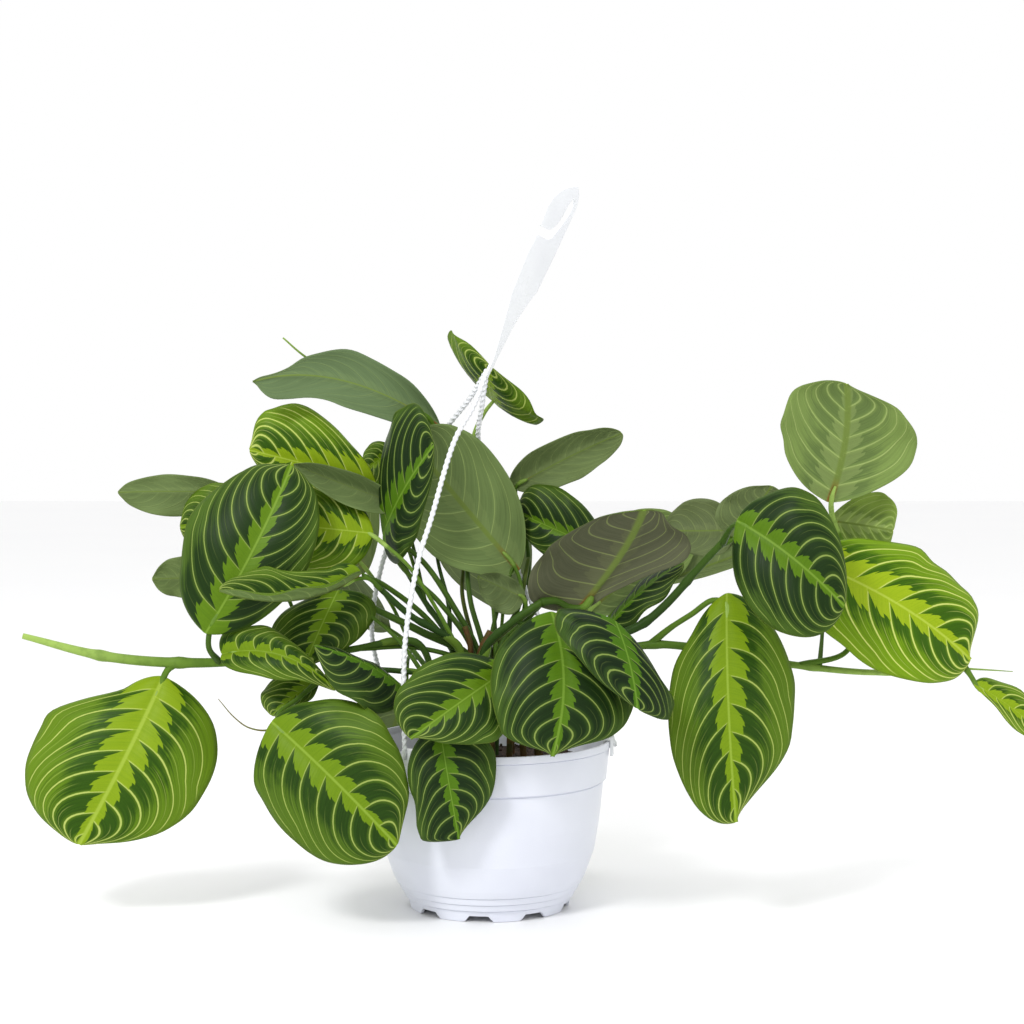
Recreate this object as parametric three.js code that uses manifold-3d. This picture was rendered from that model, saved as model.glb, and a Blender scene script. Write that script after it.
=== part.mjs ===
// A prayer plant (Maranta leuconeura) in a hanging pot of white moulded plastic, which stands on a surface.
// Millimetres, +Z up, the origin at the centre of the pot's underside, -Y towards the front.
import * as THREE from "three";
import { mergeVertices } from "three/addons/utils/BufferGeometryUtils.js";
import Module from "manifold-3d";

const wasm = await Module();
wasm.setup();

// ---------- driving dimensions ----------

// Pot: [radius, height] up the outside, from the foot of its skirt to its rim.
const POT_OUTSIDE = [
  [56, 0],
  [58, 7.5],
  [59.6, 8],
  [61.3, 12.4],
  [62.4, 12.8],
  [64.2, 17.4],
  [65.2, 17.8],
  [67.6, 22.8],
  [74, 40.5],
  [77.4, 61],
  [80.4, 89],
  [82.4, 90.6],
  [84.7, 112.4],
  [85.6, 113],
  [85.6, 118],
];
const INSIDE_HEIGHTS = [113, 89, 61, 40.5, 22.8]; // where the pot's inside has a corner, from the rim down
const POT_SIDES = 32;
const POT_WALL = 1.8;
const POT_HEIGHT = 118;
const FLOOR_UNDERSIDE = 6;
const FLOOR_TOP = 8.5;
const FLOOR_RADIUS = 55;
const PAD_RADIUS = 14; // the flat pad under the floor's centre, which stands on the surface with the skirt
const SKIRT_NOTCHES = 9;
const SKIRT_NOTCH = { foot: 20, crown: 13, height: 4.2, turn: 0.23 };

// Soil: it fills the pot to below the rim.
const SOIL_TOP = 102;
const SOIL_MOUND = 3;
const HOLE_FLOOR = 84;
const HOLE_CLEARANCE = 0.6;
const HOLE_SIDES = 8;
const SEAT = 0.3; // the gap between touching pieces

// Hanger: a flat hook on a strap, three arms and a clip over the rim at each arm's foot.
const ARM_ANGLES = [231, 111, 351]; // degrees round the rim
const ARM_RADIUS = 1.9;
const ARM_SIDES = 6;
const CLIP = { width: 8, leg: 2.1, outerDrop: 13, innerDrop: 7, cap: 2.2, innerClearance: 0.8 };
const STRAP_FOOT = [-1.4, -10, 373]; // the middle of its lower end, 2 mm up
const STRAP_LEAN = 25.7; // degrees from upright, towards +X
const STRAP_TURN = 58; // degrees that the flat of the strap is turned about its length
const STRAP_THICKNESS = 2.2;
const ARM_ROUTES = [
  [
    [-2.9, -10, 369.9], [-10, -24, 352], [-23, -36, 328], [-39, -52, 274],
    [-47, -58, 248], [-55.6, -66, 195], [-56.6, -69.9, 150], [-56, -69.2, 114],
  ],
  [
    [-2.9, -10, 369.9], [-14, 8, 356], [-30, 21, 336], [-45, 24, 310], [-60, 30, 283],
    [-79, 42, 232], [-86, 60, 180], [-72, 80, 138], [-31.9, 83.1, 114],
  ],
  [
    [-2.9, -10, 369.9], [-5, 5, 352], [-8, 24, 327], [2, 42, 290],
    [14, 46, 250], [32, 36, 206], [64, 10, 156], [84.4, -12.9, 123.5], [88.6, -14, 114],
  ],
];

// Leaves and stems.
const BLADE_THICKNESS = 0.8;
const WIDEST = 0.45; // where along its midrib a leaf is widest
const BASE_ROUNDNESS = 2.1;
const TIP_ROUNDNESS = 1.85;
const END_SHARE = 0.03; // the half-width left at a blade's two ends
const PLAIN_EDGE = [0.98, 1, 1, 1.01, 1, 0.98, 0.98, 0.95, 0.86, 0.55];
const ARCH_SHARE = 0.07; // how far the midrib rises over its chord
const PUFF_SHARE = 0.1; // how far each half bulges over its own chord
const EDGE_WAVE = 2;
const EDGE_WAVES = 2.3;
const LARGE_BLADE = { rows: 8, halfColumns: 2 };
const SMALL_BLADE = { rows: 5, halfColumns: 2 };
const SMALL_LENGTH = 80;
const PETIOLE_RADIUS = 1.5;
const PETIOLE_SINK = 0.05; // the share of the midrib that the petiole runs along under the blade
const PETIOLE_DEPTH = 0.5; // how far its centre line lies under the blade, as a share of its radius
const STEM_SIDES = 5;
const PETIOLE_SIDES = 4;
const TUBE_STEP = 24; // the length of a step along a stem, a petiole or an arm

const COLOURS = {
  pot: 0xe4e6f0,
  soil: 0x2b211b,
  hanger: 0xf4f5f7,
  darkLeaf: 0x3b5a2c,
  brightLeaf: 0x6d9a1f,
  greyLeaf: 0x6c7f5c,
};

// Each leafy stem is one node. root is where it stands in the soil, and stem is the rest of its main stem, with
// a radius at each point. Each leaf has the two ends of its midrib, its widest points on the left and right of
// its upper face, and the route of its petiole from the stem. mid is the middle of a bent midrib, and bow is how
// far the midrib bends towards the right edge. leftEdge and rightEdge are shares of the plain half-width, at the
// first tenth of the way to the tip, at the second and so on.
const LEAFY_STEMS = [
  {
    name: "shoot_left",
    colour: "brightLeaf",
    root: [-36, -6],
    stem: [
      [-38, -8, 140], [-49, -16, 186], [-100, -20, 182], [-172, -26, 175],
      [-224, -30, 175], [-267, -33, 180], [-319, -38, 194],
    ],
    radii: [2.4, 2.4, 2.4, 2.4, 2.8, 3.6, 3.4, 2],
    leaves: [
      { base: [-224, -30, 165], tip: [-277, -62, 55], left: [-191, -44, 90], right: [-311, -40, 126],
        bow: -3, leftEdge: [1.03, 1, 0.99, 0.98, 0.97, 0.98, 0.97, 0.93, 0.77, 0.4],
        rightEdge: [0.5, 0.8, 1, 0.99, 0.99, 1, 1, 1, 0.93, 0.7],
        petiole: [[-214, -29, 175], [-221, -30, 170]], radius: 2.6 },
      { base: [-192, -50, 197], tip: [-136, -22, 310], left: [-204, -30, 277], right: [-124, -42, 240],
        bow: 5, leftEdge: [0.97, 0.93, 0.95, 1, 1, 0.96, 0.9, 0.85, 0.8, 0.5],
        rightEdge: [1, 1, 1, 1, 1, 1, 1, 0.98, 0.95, 0.7],
        petiole: [[-186, -28, 175], [-191, -43, 187]], radius: 2.2 },
      { base: [-182, -42, 182], tip: [-103, -62, 160], left: [-157, -46, 204], right: [-150, -62, 168],
        leftEdge: [0.9, 0.85, 0.85, 0.88, 0.95, 1, 1, 1, 1, 1],
        rightEdge: [1, 1, 1, 1, 0.98, 0.87, 0.7, 0.62, 0.5, 0.4],
        mid: [-139, -58, 183], petiole: [[-176, -27, 175], [-182, -37, 179]] },
      { base: [-159, 4, 271], tip: [-217, 4, 266], left: [-189, 4, 243], right: [-193, 8, 297],
        petiole: [[-120, -21, 180], [-140, 0, 214], [-156, 5, 258]] },
      { base: [-182, 16, 290], tip: [-259, -4, 291], left: [-223, 8, 303], right: [-221, 12, 273],
        petiole: [[-148, 3, 235], [-172, 14, 278]] },
      { base: [-191, 8, 230], tip: [-236, -2, 230], left: [-214, 4, 246], right: [-215, 6, 216],
        petiole: [[-145, 2, 224], [-170, 8, 228]] },
    ],
  },
  {
    name: "shoot_left_front",
    colour: "brightLeaf",
    root: [-30, -28],
    stem: [[-32, -30, 140], [-40, -32, 165], [-61, -39, 170], [-99, -37, 170], [-116, -32, 164]],
    radii: [2.2, 2.2, 2, 2, 1.8, 1.8],
    leaves: [
      { base: [-145, -72, 140], tip: [-60, -98, 62], left: [-75, -84, 147], right: [-133, -88, 67],
        bow: -3, leftEdge: [0.8, 0.9, 0.96, 1, 1.02, 1, 1, 0.98, 0.95, 0.5],
        rightEdge: [1.18, 1.06, 1.02, 1, 1, 1.03, 1.05, 1.03, 1, 1],
        petiole: [[-114, -33, 165], [-130, -49, 152], [-141, -66, 144]], radius: 1.9 },
      { base: [-56, -50, 158], tip: [-115, -84, 193], left: [-85, -84, 152], right: [-82, -52, 178],
        petiole: [[-38, -32, 160], [-48, -44, 160]] },
      { base: [-118, -26, 163], tip: [-148, -44, 140], left: [-127, -38, 146], right: [-152, -30, 160],
        petiole: [[-106, -35, 168], [-113, -29, 165]] },
      { base: [-105, -14, 223], tip: [-127, -34, 172], left: [-80, -18, 203], right: [-150, -24, 198],
        petiole: [[-41, -31, 161], [-62, -25, 189], [-86, -18, 209], [-100, -14, 219]] },
    ],
    threads: [
      {
        radius: 0.7,
        route: [[-136, -58, 147], [-147, -58, 133], [-162, -54, 133], [-173, -51, 140], [-184, -48, 152]],
      },
    ],
  },
  {
    name: "shoot_left_upper",
    colour: "brightLeaf",
    root: [-18, -14],
    stem: [[-18, -14, 150], [-20, -15, 182], [-55, -22, 207], [-78, -30, 229]],
    radii: [2.4, 2.4, 2.6, 2.4, 2],
    leaves: [
      { base: [-87, -40, 237], tip: [-179, -74, 228], left: [-121, -90, 230], right: [-136, -50, 247],
        leftEdge: [1, 1, 1, 1, 1, 1, 1, 1, 1, 1],
        rightEdge: [0.8, 0.6, 0.6, 0.65, 0.8, 1, 0.9, 0.8, 0.8, 0.7],
        mid: [-130, -62, 221], petiole: [[-74, -30, 225], [-82, -36, 233]] },
      { base: [-81, -2, 262], tip: [-158, 2, 269], left: [-118, -4, 234], right: [-122, 7, 301],
        petiole: [[-22, -15, 183], [-36, -12, 209], [-55, -14, 239], [-73, -10, 255]] },
    ],
  },
  {
    name: "shoot_top_left",
    colour: "darkLeaf",
    root: [-20, 8],
    stem: [[-21, 8, 150], [-28, 8, 186], [-46, 15, 213], [-64, 17, 243]],
    radii: [2.2, 2.2, 2.2, 2, 1.8],
    leaves: [
      { base: [-75, 12, 260], tip: [-38, -18, 324], left: [-66, -4, 347], right: [-57, -6, 245],
        leftEdge: [1.1, 1.05, 1, 0.97, 0.95, 0.93, 0.95, 0.97, 1, 1],
        rightEdge: [0.85, 0.88, 0.9, 0.93, 0.93, 0.95, 0.97, 1, 1, 1],
        petiole: [[-62, 17, 240], [-70, 15, 252]] },
      { base: [-35, 22, 337], tip: [-164, -8, 368], left: [-101, 2, 392], right: [-107, 4, 352],
        leftEdge: [1.2, 1.05, 1, 1, 0.9, 0.78, 0.65, 0.35, 0.25, 0.5],
        rightEdge: [1, 1, 1, 1, 0.95, 1.1, 1.5, 1.85, 1.7, 1],
        mid: [-103, 8, 369], tipRoundness: 1.35,
        petiole: [[-28, 8, 186], [-29, 16, 210], [-37, 28, 241], [-42, 34, 284], [-38, 30, 320]] },
      { base: [-70, 32, 320], tip: [-90, 24, 304], left: [-75, 26, 293], right: [-85, 28, 324],
        petiole: [[-42, 34, 284], [-56, 36, 303], [-66, 34, 314]] },
      { base: [-81, 22, 297], tip: [-169, 13, 320], left: [-120, 17, 282], right: [-134, 20, 355],
        leftEdge: [1, 1, 1, 1, 1, 1, 1, 1, 1, 0.9],
        rightEdge: [0.72, 0.82, 0.88, 0.93, 0.94, 0.91, 0.88, 0.88, 0.77, 0.35],
        petiole: [[-46, 15, 213], [-58, 24, 250], [-72, 25, 286]] },
      { base: [-65, 14, 282], tip: [-135, -18, 311], left: [-92, -8, 304], right: [-96, -10, 281],
        petiole: [[-46, 15, 213], [-54, 22, 250], [-60, 17, 270]] },
    ],
    threads: [
      {
        radius: 1.5,
        route: [[-39, 30, 317], [-60, 30, 346], [-91, 22, 363], [-130, 16, 386], [-145, 12, 399]],
      },
    ],
  },
  {
    name: "shoot_top",
    colour: "greyLeaf",
    root: [0, 12],
    stem: [[0, 12, 150], [7, 14, 178], [20, 22, 202]],
    radii: [2.4, 2.4, 2.2, 1.8],
    leaves: [
      { base: [21, 34, 233], tip: [-57, 4, 329], left: [3, 18, 317], right: [-50, 12, 256],
        leftEdge: [1, 1, 1, 1, 1, 1, 0.98, 0.95, 0.85, 0.6],
        rightEdge: [0.85, 0.95, 1, 1, 1, 1, 1, 1, 1, 0.8],
        petiole: [[18, 21, 199], [23, 28, 219]] },
      { base: [3, 44, 354], tip: [1, 2, 379], left: [-29, 22, 402], right: [37, 26, 341],
        petiole: [[5, 13, 172], [2, 38, 211], [-8, 52, 269], [-12, 52, 327], [-4, 48, 346]] },
      { base: [25, 20, 215], tip: [-8, 8, 231], left: [13, 14, 231], right: [6, 14, 205],
        petiole: [[12, 17, 188], [22, 19, 199], [26, 20, 208]] },
    ],
  },
  {
    name: "shoot_rear_right",
    colour: "darkLeaf",
    root: [16, 28],
    stem: [[17, 29, 150], [24, 40, 197], [28, 50, 240], [22, 56, 276]],
    radii: [2, 2, 1.8, 1.6, 1.6],
    leaves: [
      { base: [16, 52, 292], tip: [93, 8, 332], left: [68, 28, 301], right: [42, 26, 326],
        leftEdge: [1, 1.03, 1.03, 1.02, 0.95, 0.9, 0.9, 0.85, 0.8, 0.7],
        rightEdge: [1, 1, 1, 0.97, 0.92, 0.9, 0.93, 0.93, 1, 1],
        petiole: [[23, 55, 272], [19, 55, 284]] },
      { base: [83, 16, 248], tip: [19, 44, 275], left: [47, 24, 240], right: [49, 31, 293],
        petiole: [[19, 32, 166], [46, 24, 199], [70, 17, 230]] },
    ],
  },
  {
    name: "shoot_centre_right",
    colour: "greyLeaf",
    root: [2, -16],
    stem: [[0, -17, 150], [-3, -20, 182], [16, -24, 202], [38, -26, 217]],
    radii: [2.6, 2.6, 2.8, 2.8, 2.8],
    leaves: [
      { base: [62, -18, 209], tip: [105, -56, 281], left: [139, -34, 249], right: [31, -40, 241],
        bow: -8, leftEdge: [0.3, 0.5, 0.68, 0.92, 0.95, 0.88, 0.78, 0.62, 0.6, 0.8],
        rightEdge: [1, 0.98, 0.99, 1, 1, 1.04, 1.12, 1.1, 1.15, 1.6],
        petiole: [[36, -26, 216], [46, -25, 217], [56, -20, 212]], radius: 2.6 },
      { base: [82, -6, 195], tip: [135, -16, 242], left: [107, 14, 225], right: [113, -24, 212],
        petiole: [[18, -24, 203], [50, -16, 192], [72, -9, 192]] },
    ],
  },
  {
    name: "shoot_right_upper",
    colour: "darkLeaf",
    root: [24, -26],
    stem: [
      [25, -27, 140], [49, -30, 177], [104, -28, 200],
      [121, -30, 214], [145, -36, 242], [161, -47, 261],
    ],
    radii: [2.4, 2.4, 2.6, 3, 3, 2.8, 2.4],
    leaves: [
      { base: [166, -72, 275], tip: [233, -104, 221], left: [214, -84, 295], right: [182, -98, 209],
        bow: -3.5, leftEdge: [0.75, 0.85, 0.92, 0.95, 0.98, 0.97, 0.95, 0.93, 0.87, 0.75],
        rightEdge: [1.03, 1, 1, 1, 1, 1, 1, 1, 1, 1],
        petiole: [[159, -45, 258], [164, -60, 270]], radius: 2.2 },
      { base: [172, -26, 266], tip: [122, 0, 264], left: [147, -8, 287], right: [150, -18, 247],
        petiole: [[143, -35, 240], [160, -32, 256], [169, -28, 263]] },
      { base: [169, -34, 261], tip: [192, -46, 297], left: [204, -50, 274], right: [158, -38, 285],
        petiole: [[157, -44, 256], [164, -37, 258]] },
    ],
  },
  {
    name: "shoot_right",
    colour: "brightLeaf",
    root: [34, -10],
    stem: [
      [35, -11, 140], [40, -14, 168], [108, -24, 186], [133, -28, 186],
      [211, -30, 173], [270, -24, 167], [331, -24, 171],
    ],
    radii: [2.6, 2.6, 2.6, 2.8, 2.8, 2.4, 2, 1.8],
    leaves: [
      { base: [162, -46, 224], tip: [165, -86, 75], left: [208, -58, 158], right: [121, -66, 139],
        bow: 3.5, leftEdge: [0.85, 0.9, 0.95, 1, 0.98, 0.97, 0.96, 0.8, 0.48, 0.1],
        rightEdge: [0.85, 1, 1, 1, 1, 1, 0.98, 0.98, 1, 1],
        petiole: [[112, -24, 187], [125, -32, 199], [139, -38, 209], [153, -43, 219]], radius: 2.2 },
      { base: [215, -48, 247], tip: [333, -24, 176], left: [305, -20, 252], right: [254, -62, 178],
        bow: -3, leftEdge: [0.9, 0.87, 0.9, 0.93, 0.85, 0.9, 0.93, 1, 0.93, 0.1],
        rightEdge: [1, 1, 0.98, 1, 1, 1, 1, 1, 1, 1.1],
        petiole: [[190, -30, 177], [196, -34, 205], [207, -42, 233]], radius: 1.8 },
      { base: [234, -28, 285], tip: [240, -62, 366], left: [292, -40, 323], right: [198, -48, 342],
        bow: -6, leftEdge: [0.9, 0.95, 1, 1, 1, 1, 0.98, 0.96, 0.7, 0.3],
        rightEdge: [0.95, 0.97, 0.95, 1, 1, 1.03, 1.08, 1.1, 1.1, 1.2],
        tipRoundness: 1.6, radius: 1.8,
        petiole: [[214, -30, 173], [247, -26, 182], [257, -10, 216], [248, -8, 251], [237, -21, 276]] },
      { base: [238, 2, 271], tip: [280, -16, 265], left: [263, -4, 244], right: [272, -10, 291],
        petiole: [[257, -10, 216], [252, 2, 243], [244, 4, 261]] },
      { base: [335, -28, 160], tip: [392, -44, 115], left: [369, -28, 153], right: [352, -42, 135],
        leftEdge: [1, 1, 1, 1, 1, 1, 1, 0.97, 0.9, 0.6],
        rightEdge: [0.4, 0.5, 0.6, 0.7, 0.8, 0.95, 1, 1, 0.9, 0.6],
        petiole: [[329, -24, 171], [333, -26, 165]], radius: 2 },
      { base: [238, 30, 228], tip: [300, 85, 216], left: [266, 70, 246], right: [258, 62, 196],
        petiole: [[228, -29, 172], [234, 0, 196], [236, 22, 219]] },
    ],
    threads: [{ radius: 0.7, route: [[324, -24, 170], [345, -25, 169], [362, -26, 168]] }],
  },
  {
    name: "shoot_front",
    colour: "darkLeaf",
    root: [-4, -36],
    stem: [[-4, -37, 128], [0, -42, 148], [8, -58, 156]],
    radii: [2.2, 2.2, 2, 1.8],
    leaves: [
      { base: [15, -84, 178], tip: [-50, -112, 135], left: [2, -110, 129], right: [-47, -98, 182],
        leftEdge: [1, 1, 0.98, 0.97, 0.86, 0.76, 0.66, 0.55, 0.32, 0.1],
        rightEdge: [1, 0.95, 0.92, 0.93, 0.92, 0.9, 0.95, 0.98, 0.97, 0.9],
        petiole: [[6, -55, 155], [14, -73, 164], [16, -80, 173]] },
      { base: [-32, -88, 140], tip: [-19, -98, 66], left: [5, -94, 113], right: [-53, -94, 101],
        leftEdge: [1.05, 1.08, 1.08, 1.04, 1, 0.97, 0.91, 0.75, 0.42, 0.1],
        rightEdge: [0.95, 0.97, 0.98, 0.97, 0.96, 0.95, 1.06, 1.29, 1.73, 2.8],
        petiole: [[5, -53, 154], [-12, -72, 155], [-27, -84, 147]] },
    ],
  },
  {
    name: "shoot_front_right",
    colour: "darkLeaf",
    root: [14, -42],
    stem: [[15, -43, 128], [20, -50, 165], [37, -71, 194]],
    radii: [2.2, 2.2, 2, 1.8],
    leaves: [
      { base: [42, -92, 216], tip: [42, -128, 126], left: [96, -106, 162], right: [2, -112, 168],
        bow: -7, leftEdge: [1, 1, 1, 1, 1, 0.98, 0.96, 0.85, 0.5, 0.15],
        rightEdge: [0.93, 1, 1, 1, 1, 1, 1, 1, 0.75, 0.15],
        petiole: [[35, -69, 191], [41, -84, 210]] },
      { base: [83, -114, 212], tip: [96, -142, 159], left: [120, -118, 160], right: [44, -124, 211],
        petiole: [[22, -53, 168], [52, -78, 190], [76, -105, 206]] },
    ],
  },
  {
    name: "shoot_rear_left",
    colour: "darkLeaf",
    root: [-32, 26],
    stem: [[-34, 30, 140], [-45, 45, 160], [-58, 60, 175]],
    radii: [2.2, 2.2, 2, 1.8],
    leaves: [
      { base: [-62, 92, 142], tip: [-88, 118, 52], left: [-118, 97, 95], right: [-44, 108, 90],
        petiole: [[-52, 53, 168], [-60, 74, 166], [-62, 86, 153]] },
      { base: [-90, 70, 230], tip: [-150, 110, 296], left: [-95, 110, 298], right: [-150, 85, 240],
        petiole: [[-56, 58, 172], [-72, 66, 205], [-84, 69, 222]] },
      { base: [-74, 82, 186], tip: [-150, 115, 215], left: [-112, 95, 235], right: [-112, 115, 190],
        petiole: [[-56, 58, 172], [-66, 74, 181]] },
    ],
  },
  {
    name: "shoot_rear",
    colour: "darkLeaf",
    root: [0, 44],
    stem: [[0, 48, 140], [4, 68, 165]],
    radii: [2.2, 2.2, 1.8],
    leaves: [
      { base: [5, 98, 150], tip: [0, 127, 40], left: [-38, 124, 96], right: [50, 116, 98],
        petiole: [[3, 64, 161], [5, 84, 166], [5, 93, 158]] },
      { base: [10, 74, 200], tip: [-5, 140, 296], left: [30, 110, 250], right: [-45, 110, 255],
        petiole: [[3, 64, 161], [8, 70, 186]] },
    ],
  },
  {
    name: "shoot_rear_side",
    colour: "darkLeaf",
    root: [36, 24],
    stem: [[38, 30, 140], [50, 45, 165]],
    radii: [2.2, 2.2, 1.8],
    leaves: [
      { base: [58, 86, 146], tip: [68, 118, 50], left: [26, 112, 92], right: [78, 100, 104],
        petiole: [[48, 43, 163], [56, 66, 164], [58, 79, 155]] },
      { base: [70, 60, 200], tip: [150, 100, 260], left: [130, 80, 215], right: [90, 95, 265],
        petiole: [[48, 43, 163], [62, 54, 190]] },
      { base: [112, 72, 217], tip: [215, 110, 250], left: [185, 90, 232], right: [165, 100, 272],
        petiole: [[48, 43, 163], [80, 60, 190], [103, 69, 211]] },
    ],
  },
];

// ---------- helpers ----------

const vector = (point) => new THREE.Vector3(...point);
const radians = THREE.MathUtils.degToRad;
const { clamp } = THREE.MathUtils;

// A closed three.js geometry as a solid that can be joined and cut.
function solidOf(geometry) {
  const bare = geometry.index ? geometry.toNonIndexed() : geometry.clone();
  bare.deleteAttribute("normal");
  bare.deleteAttribute("uv");
  const merged = mergeVertices(bare, 1e-4);
  return new wasm.Manifold(
    new wasm.Mesh({
      numProp: 3,
      vertProperties: merged.attributes.position.array,
      triVerts: new Uint32Array(merged.index.array),
    }),
  );
}

function meshOf(solid, name, colour, roughness) {
  const { numProp, vertProperties, triVerts } = solid.getMesh();
  const count = vertProperties.length / numProp;
  const positions = new Float32Array(count * 3);
  for (let i = 0; i < count; i += 1) {
    positions.set(vertProperties.subarray(i * numProp, i * numProp + 3), i * 3);
  }
  const geometry = new THREE.BufferGeometry();
  geometry.setAttribute("position", new THREE.BufferAttribute(positions, 3));
  geometry.setIndex(new THREE.BufferAttribute(triVerts, 1));
  geometry.computeVertexNormals();
  const material = new THREE.MeshStandardMaterial({ color: colour, roughness, metalness: 0 });
  const mesh = new THREE.Mesh(geometry, material);
  mesh.name = name;
  return mesh;
}

const joined = (solids) => solids.reduce((all, one) => all.add(one));

// A solid from triangles given as lists of three points.
function solidOfTriangles(triangles) {
  const geometry = new THREE.BufferGeometry().setFromPoints(triangles.flat());
  return solidOf(geometry);
}

// A closed tube along a smooth route, with a radius at each point of the route.
function tube(route, radii, sides) {
  const path = new THREE.CatmullRomCurve3(route.map(vector));
  const steps = Math.max(route.length > 2 ? 3 : 1, Math.round(path.getLength() / TUBE_STEP));
  const frames = path.computeFrenetFrames(steps, false);
  const radiusAt = (t) => {
    const place = t * (radii.length - 1);
    const before = Math.min(Math.floor(place), radii.length - 2);
    return THREE.MathUtils.lerp(radii[before], radii[before + 1], place - before);
  };
  const rings = [];
  for (let i = 0; i <= steps; i += 1) {
    const centre = path.getPointAt(i / steps);
    const ring = [];
    for (let j = 0; j < sides; j += 1) {
      const angle = (2 * Math.PI * j) / sides;
      const radius = radiusAt(i / steps);
      ring.push(
        centre
          .clone()
          .addScaledVector(frames.normals[i], radius * Math.cos(angle))
          .addScaledVector(frames.binormals[i], radius * Math.sin(angle)),
      );
    }
    rings.push(ring);
  }
  const triangles = [];
  for (let i = 0; i < steps; i += 1) {
    for (let j = 0; j < sides; j += 1) {
      const next = (j + 1) % sides;
      triangles.push([rings[i][j], rings[i][next], rings[i + 1][next]]);
      triangles.push([rings[i][j], rings[i + 1][next], rings[i + 1][j]]);
    }
  }
  for (let j = 1; j < sides - 1; j += 1) {
    triangles.push([rings[0][0], rings[0][j + 1], rings[0][j]]);
    triangles.push([rings[steps][0], rings[steps][j], rings[steps][j + 1]]);
  }
  return solidOfTriangles(triangles);
}

// A solid of revolution about +Z, from a profile of [radius, height] that starts and ends on the axis.
function revolved(profile, sides) {
  const points = profile.map(([radius, height]) => new THREE.Vector2(radius, height));
  const geometry = new THREE.LatheGeometry(points, sides);
  geometry.rotateX(Math.PI / 2);
  return solidOf(geometry);
}

// ---------- pot and soil ----------

const INSIDE_CORNERS = INSIDE_HEIGHTS.map((height) => POT_OUTSIDE.find((point) => point[1] === height));
const insideOf = ([radius, height], gap) => [radius - gap, height];

function makePot() {
  const inside = [POT_OUTSIDE.at(-1), ...INSIDE_CORNERS].map((point) => insideOf(point, POT_WALL));
  const skirtFoot = POT_OUTSIDE[0][0] - POT_WALL;
  const profile = [
    [0, 0],
    [PAD_RADIUS, 0],
    [PAD_RADIUS + 1, FLOOR_UNDERSIDE],
    [skirtFoot, FLOOR_UNDERSIDE],
    [skirtFoot, 0],
    ...POT_OUTSIDE,
    ...inside,
    [FLOOR_RADIUS, FLOOR_TOP],
    [0, FLOOR_TOP],
  ];
  let pot = revolved(profile, POT_SIDES);
  for (let i = 0; i < SKIRT_NOTCHES; i += 1) {
    pot = pot.subtract(skirtNotch((2 * Math.PI * i) / SKIRT_NOTCHES + SKIRT_NOTCH.turn));
  }
  return pot;
}

// A notch with sloping ends, cut through the skirt's lower edge.
function skirtNotch(angle) {
  const { foot, crown, height } = SKIRT_NOTCH;
  const outline = new THREE.Shape();
  outline.moveTo(-foot / 2, -1);
  outline.lineTo(foot / 2, -1);
  outline.lineTo(crown / 2, height);
  outline.lineTo(-crown / 2, height);
  const cutter = new THREE.ExtrudeGeometry(outline, { depth: 24, bevelEnabled: false });
  cutter.rotateX(Math.PI / 2);
  cutter.translate(0, POT_OUTSIDE[0][0] + 12, 0);
  cutter.rotateZ(angle);
  return solidOf(cutter);
}

function makeSoil() {
  const innerWall = INSIDE_CORNERS.filter(([, height]) => height < SOIL_TOP).reverse();
  const side = innerWall.map((point) => insideOf(point, POT_WALL + SEAT));
  const topRadius = side.at(-1)[0];
  const profile = [
    [0, FLOOR_TOP + SEAT],
    [FLOOR_RADIUS - SEAT, FLOOR_TOP + SEAT],
    ...side,
    [topRadius, SOIL_TOP - SOIL_MOUND],
    [topRadius * 0.75, SOIL_TOP - SOIL_MOUND / 3],
    [0, SOIL_TOP],
  ];
  let soil = revolved(profile, POT_SIDES);
  for (const { root, radii } of LEAFY_STEMS) {
    const hole = [
      [...root, HOLE_FLOOR],
      [...root, SOIL_TOP + 10],
    ];
    const radius = radii[0] + HOLE_CLEARANCE;
    soil = soil.subtract(tube(hole, [radius, radius], HOLE_SIDES));
  }
  return soil;
}

// ---------- hanger ----------

// The strap's outline: x across it, y up its length, with the slot that makes its top a hook.
function strapOutline() {
  const outline = new THREE.Shape();
  outline.moveTo(-1.8, -2);
  outline.lineTo(1.8, -2);
  outline.lineTo(2.4, 30);
  outline.quadraticCurveTo(3.4, 50, 11, 66);
  outline.lineTo(11.3, 96);
  outline.lineTo(10.2, 130);
  outline.quadraticCurveTo(8, 140, 0, 144);
  outline.quadraticCurveTo(-22, 138, -24.5, 120);
  outline.lineTo(-22, 107);
  outline.lineTo(-13, 107.5);
  outline.quadraticCurveTo(-3, 107, -1.2, 122);
  outline.quadraticCurveTo(-0.8, 135, 2.6, 135);
  outline.quadraticCurveTo(6.4, 135, 6.2, 126);
  outline.quadraticCurveTo(2, 100, -10, 101.5);
  outline.lineTo(-21, 101);
  outline.lineTo(-21.5, 86);
  outline.lineTo(-18.3, 59);
  outline.quadraticCurveTo(-10, 36, -2.6, 12);
  return outline;
}

function makeStrap() {
  const geometry = new THREE.ExtrudeGeometry(strapOutline(), {
    depth: STRAP_THICKNESS,
    bevelEnabled: false,
    curveSegments: 5,
  });
  geometry.translate(0, 0, -STRAP_THICKNESS / 2);
  const lean = radians(STRAP_LEAN);
  const turn = radians(STRAP_TURN);
  const along = new THREE.Vector3(Math.sin(lean), 0, Math.cos(lean));
  const across = new THREE.Vector3(Math.cos(lean), 0, -Math.sin(lean)).multiplyScalar(Math.cos(turn));
  across.y = Math.sin(turn);
  const facing = across.clone().cross(along);
  geometry.applyMatrix4(new THREE.Matrix4().makeBasis(across, along, facing).setPosition(...STRAP_FOOT));
  return solidOf(geometry);
}

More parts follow.
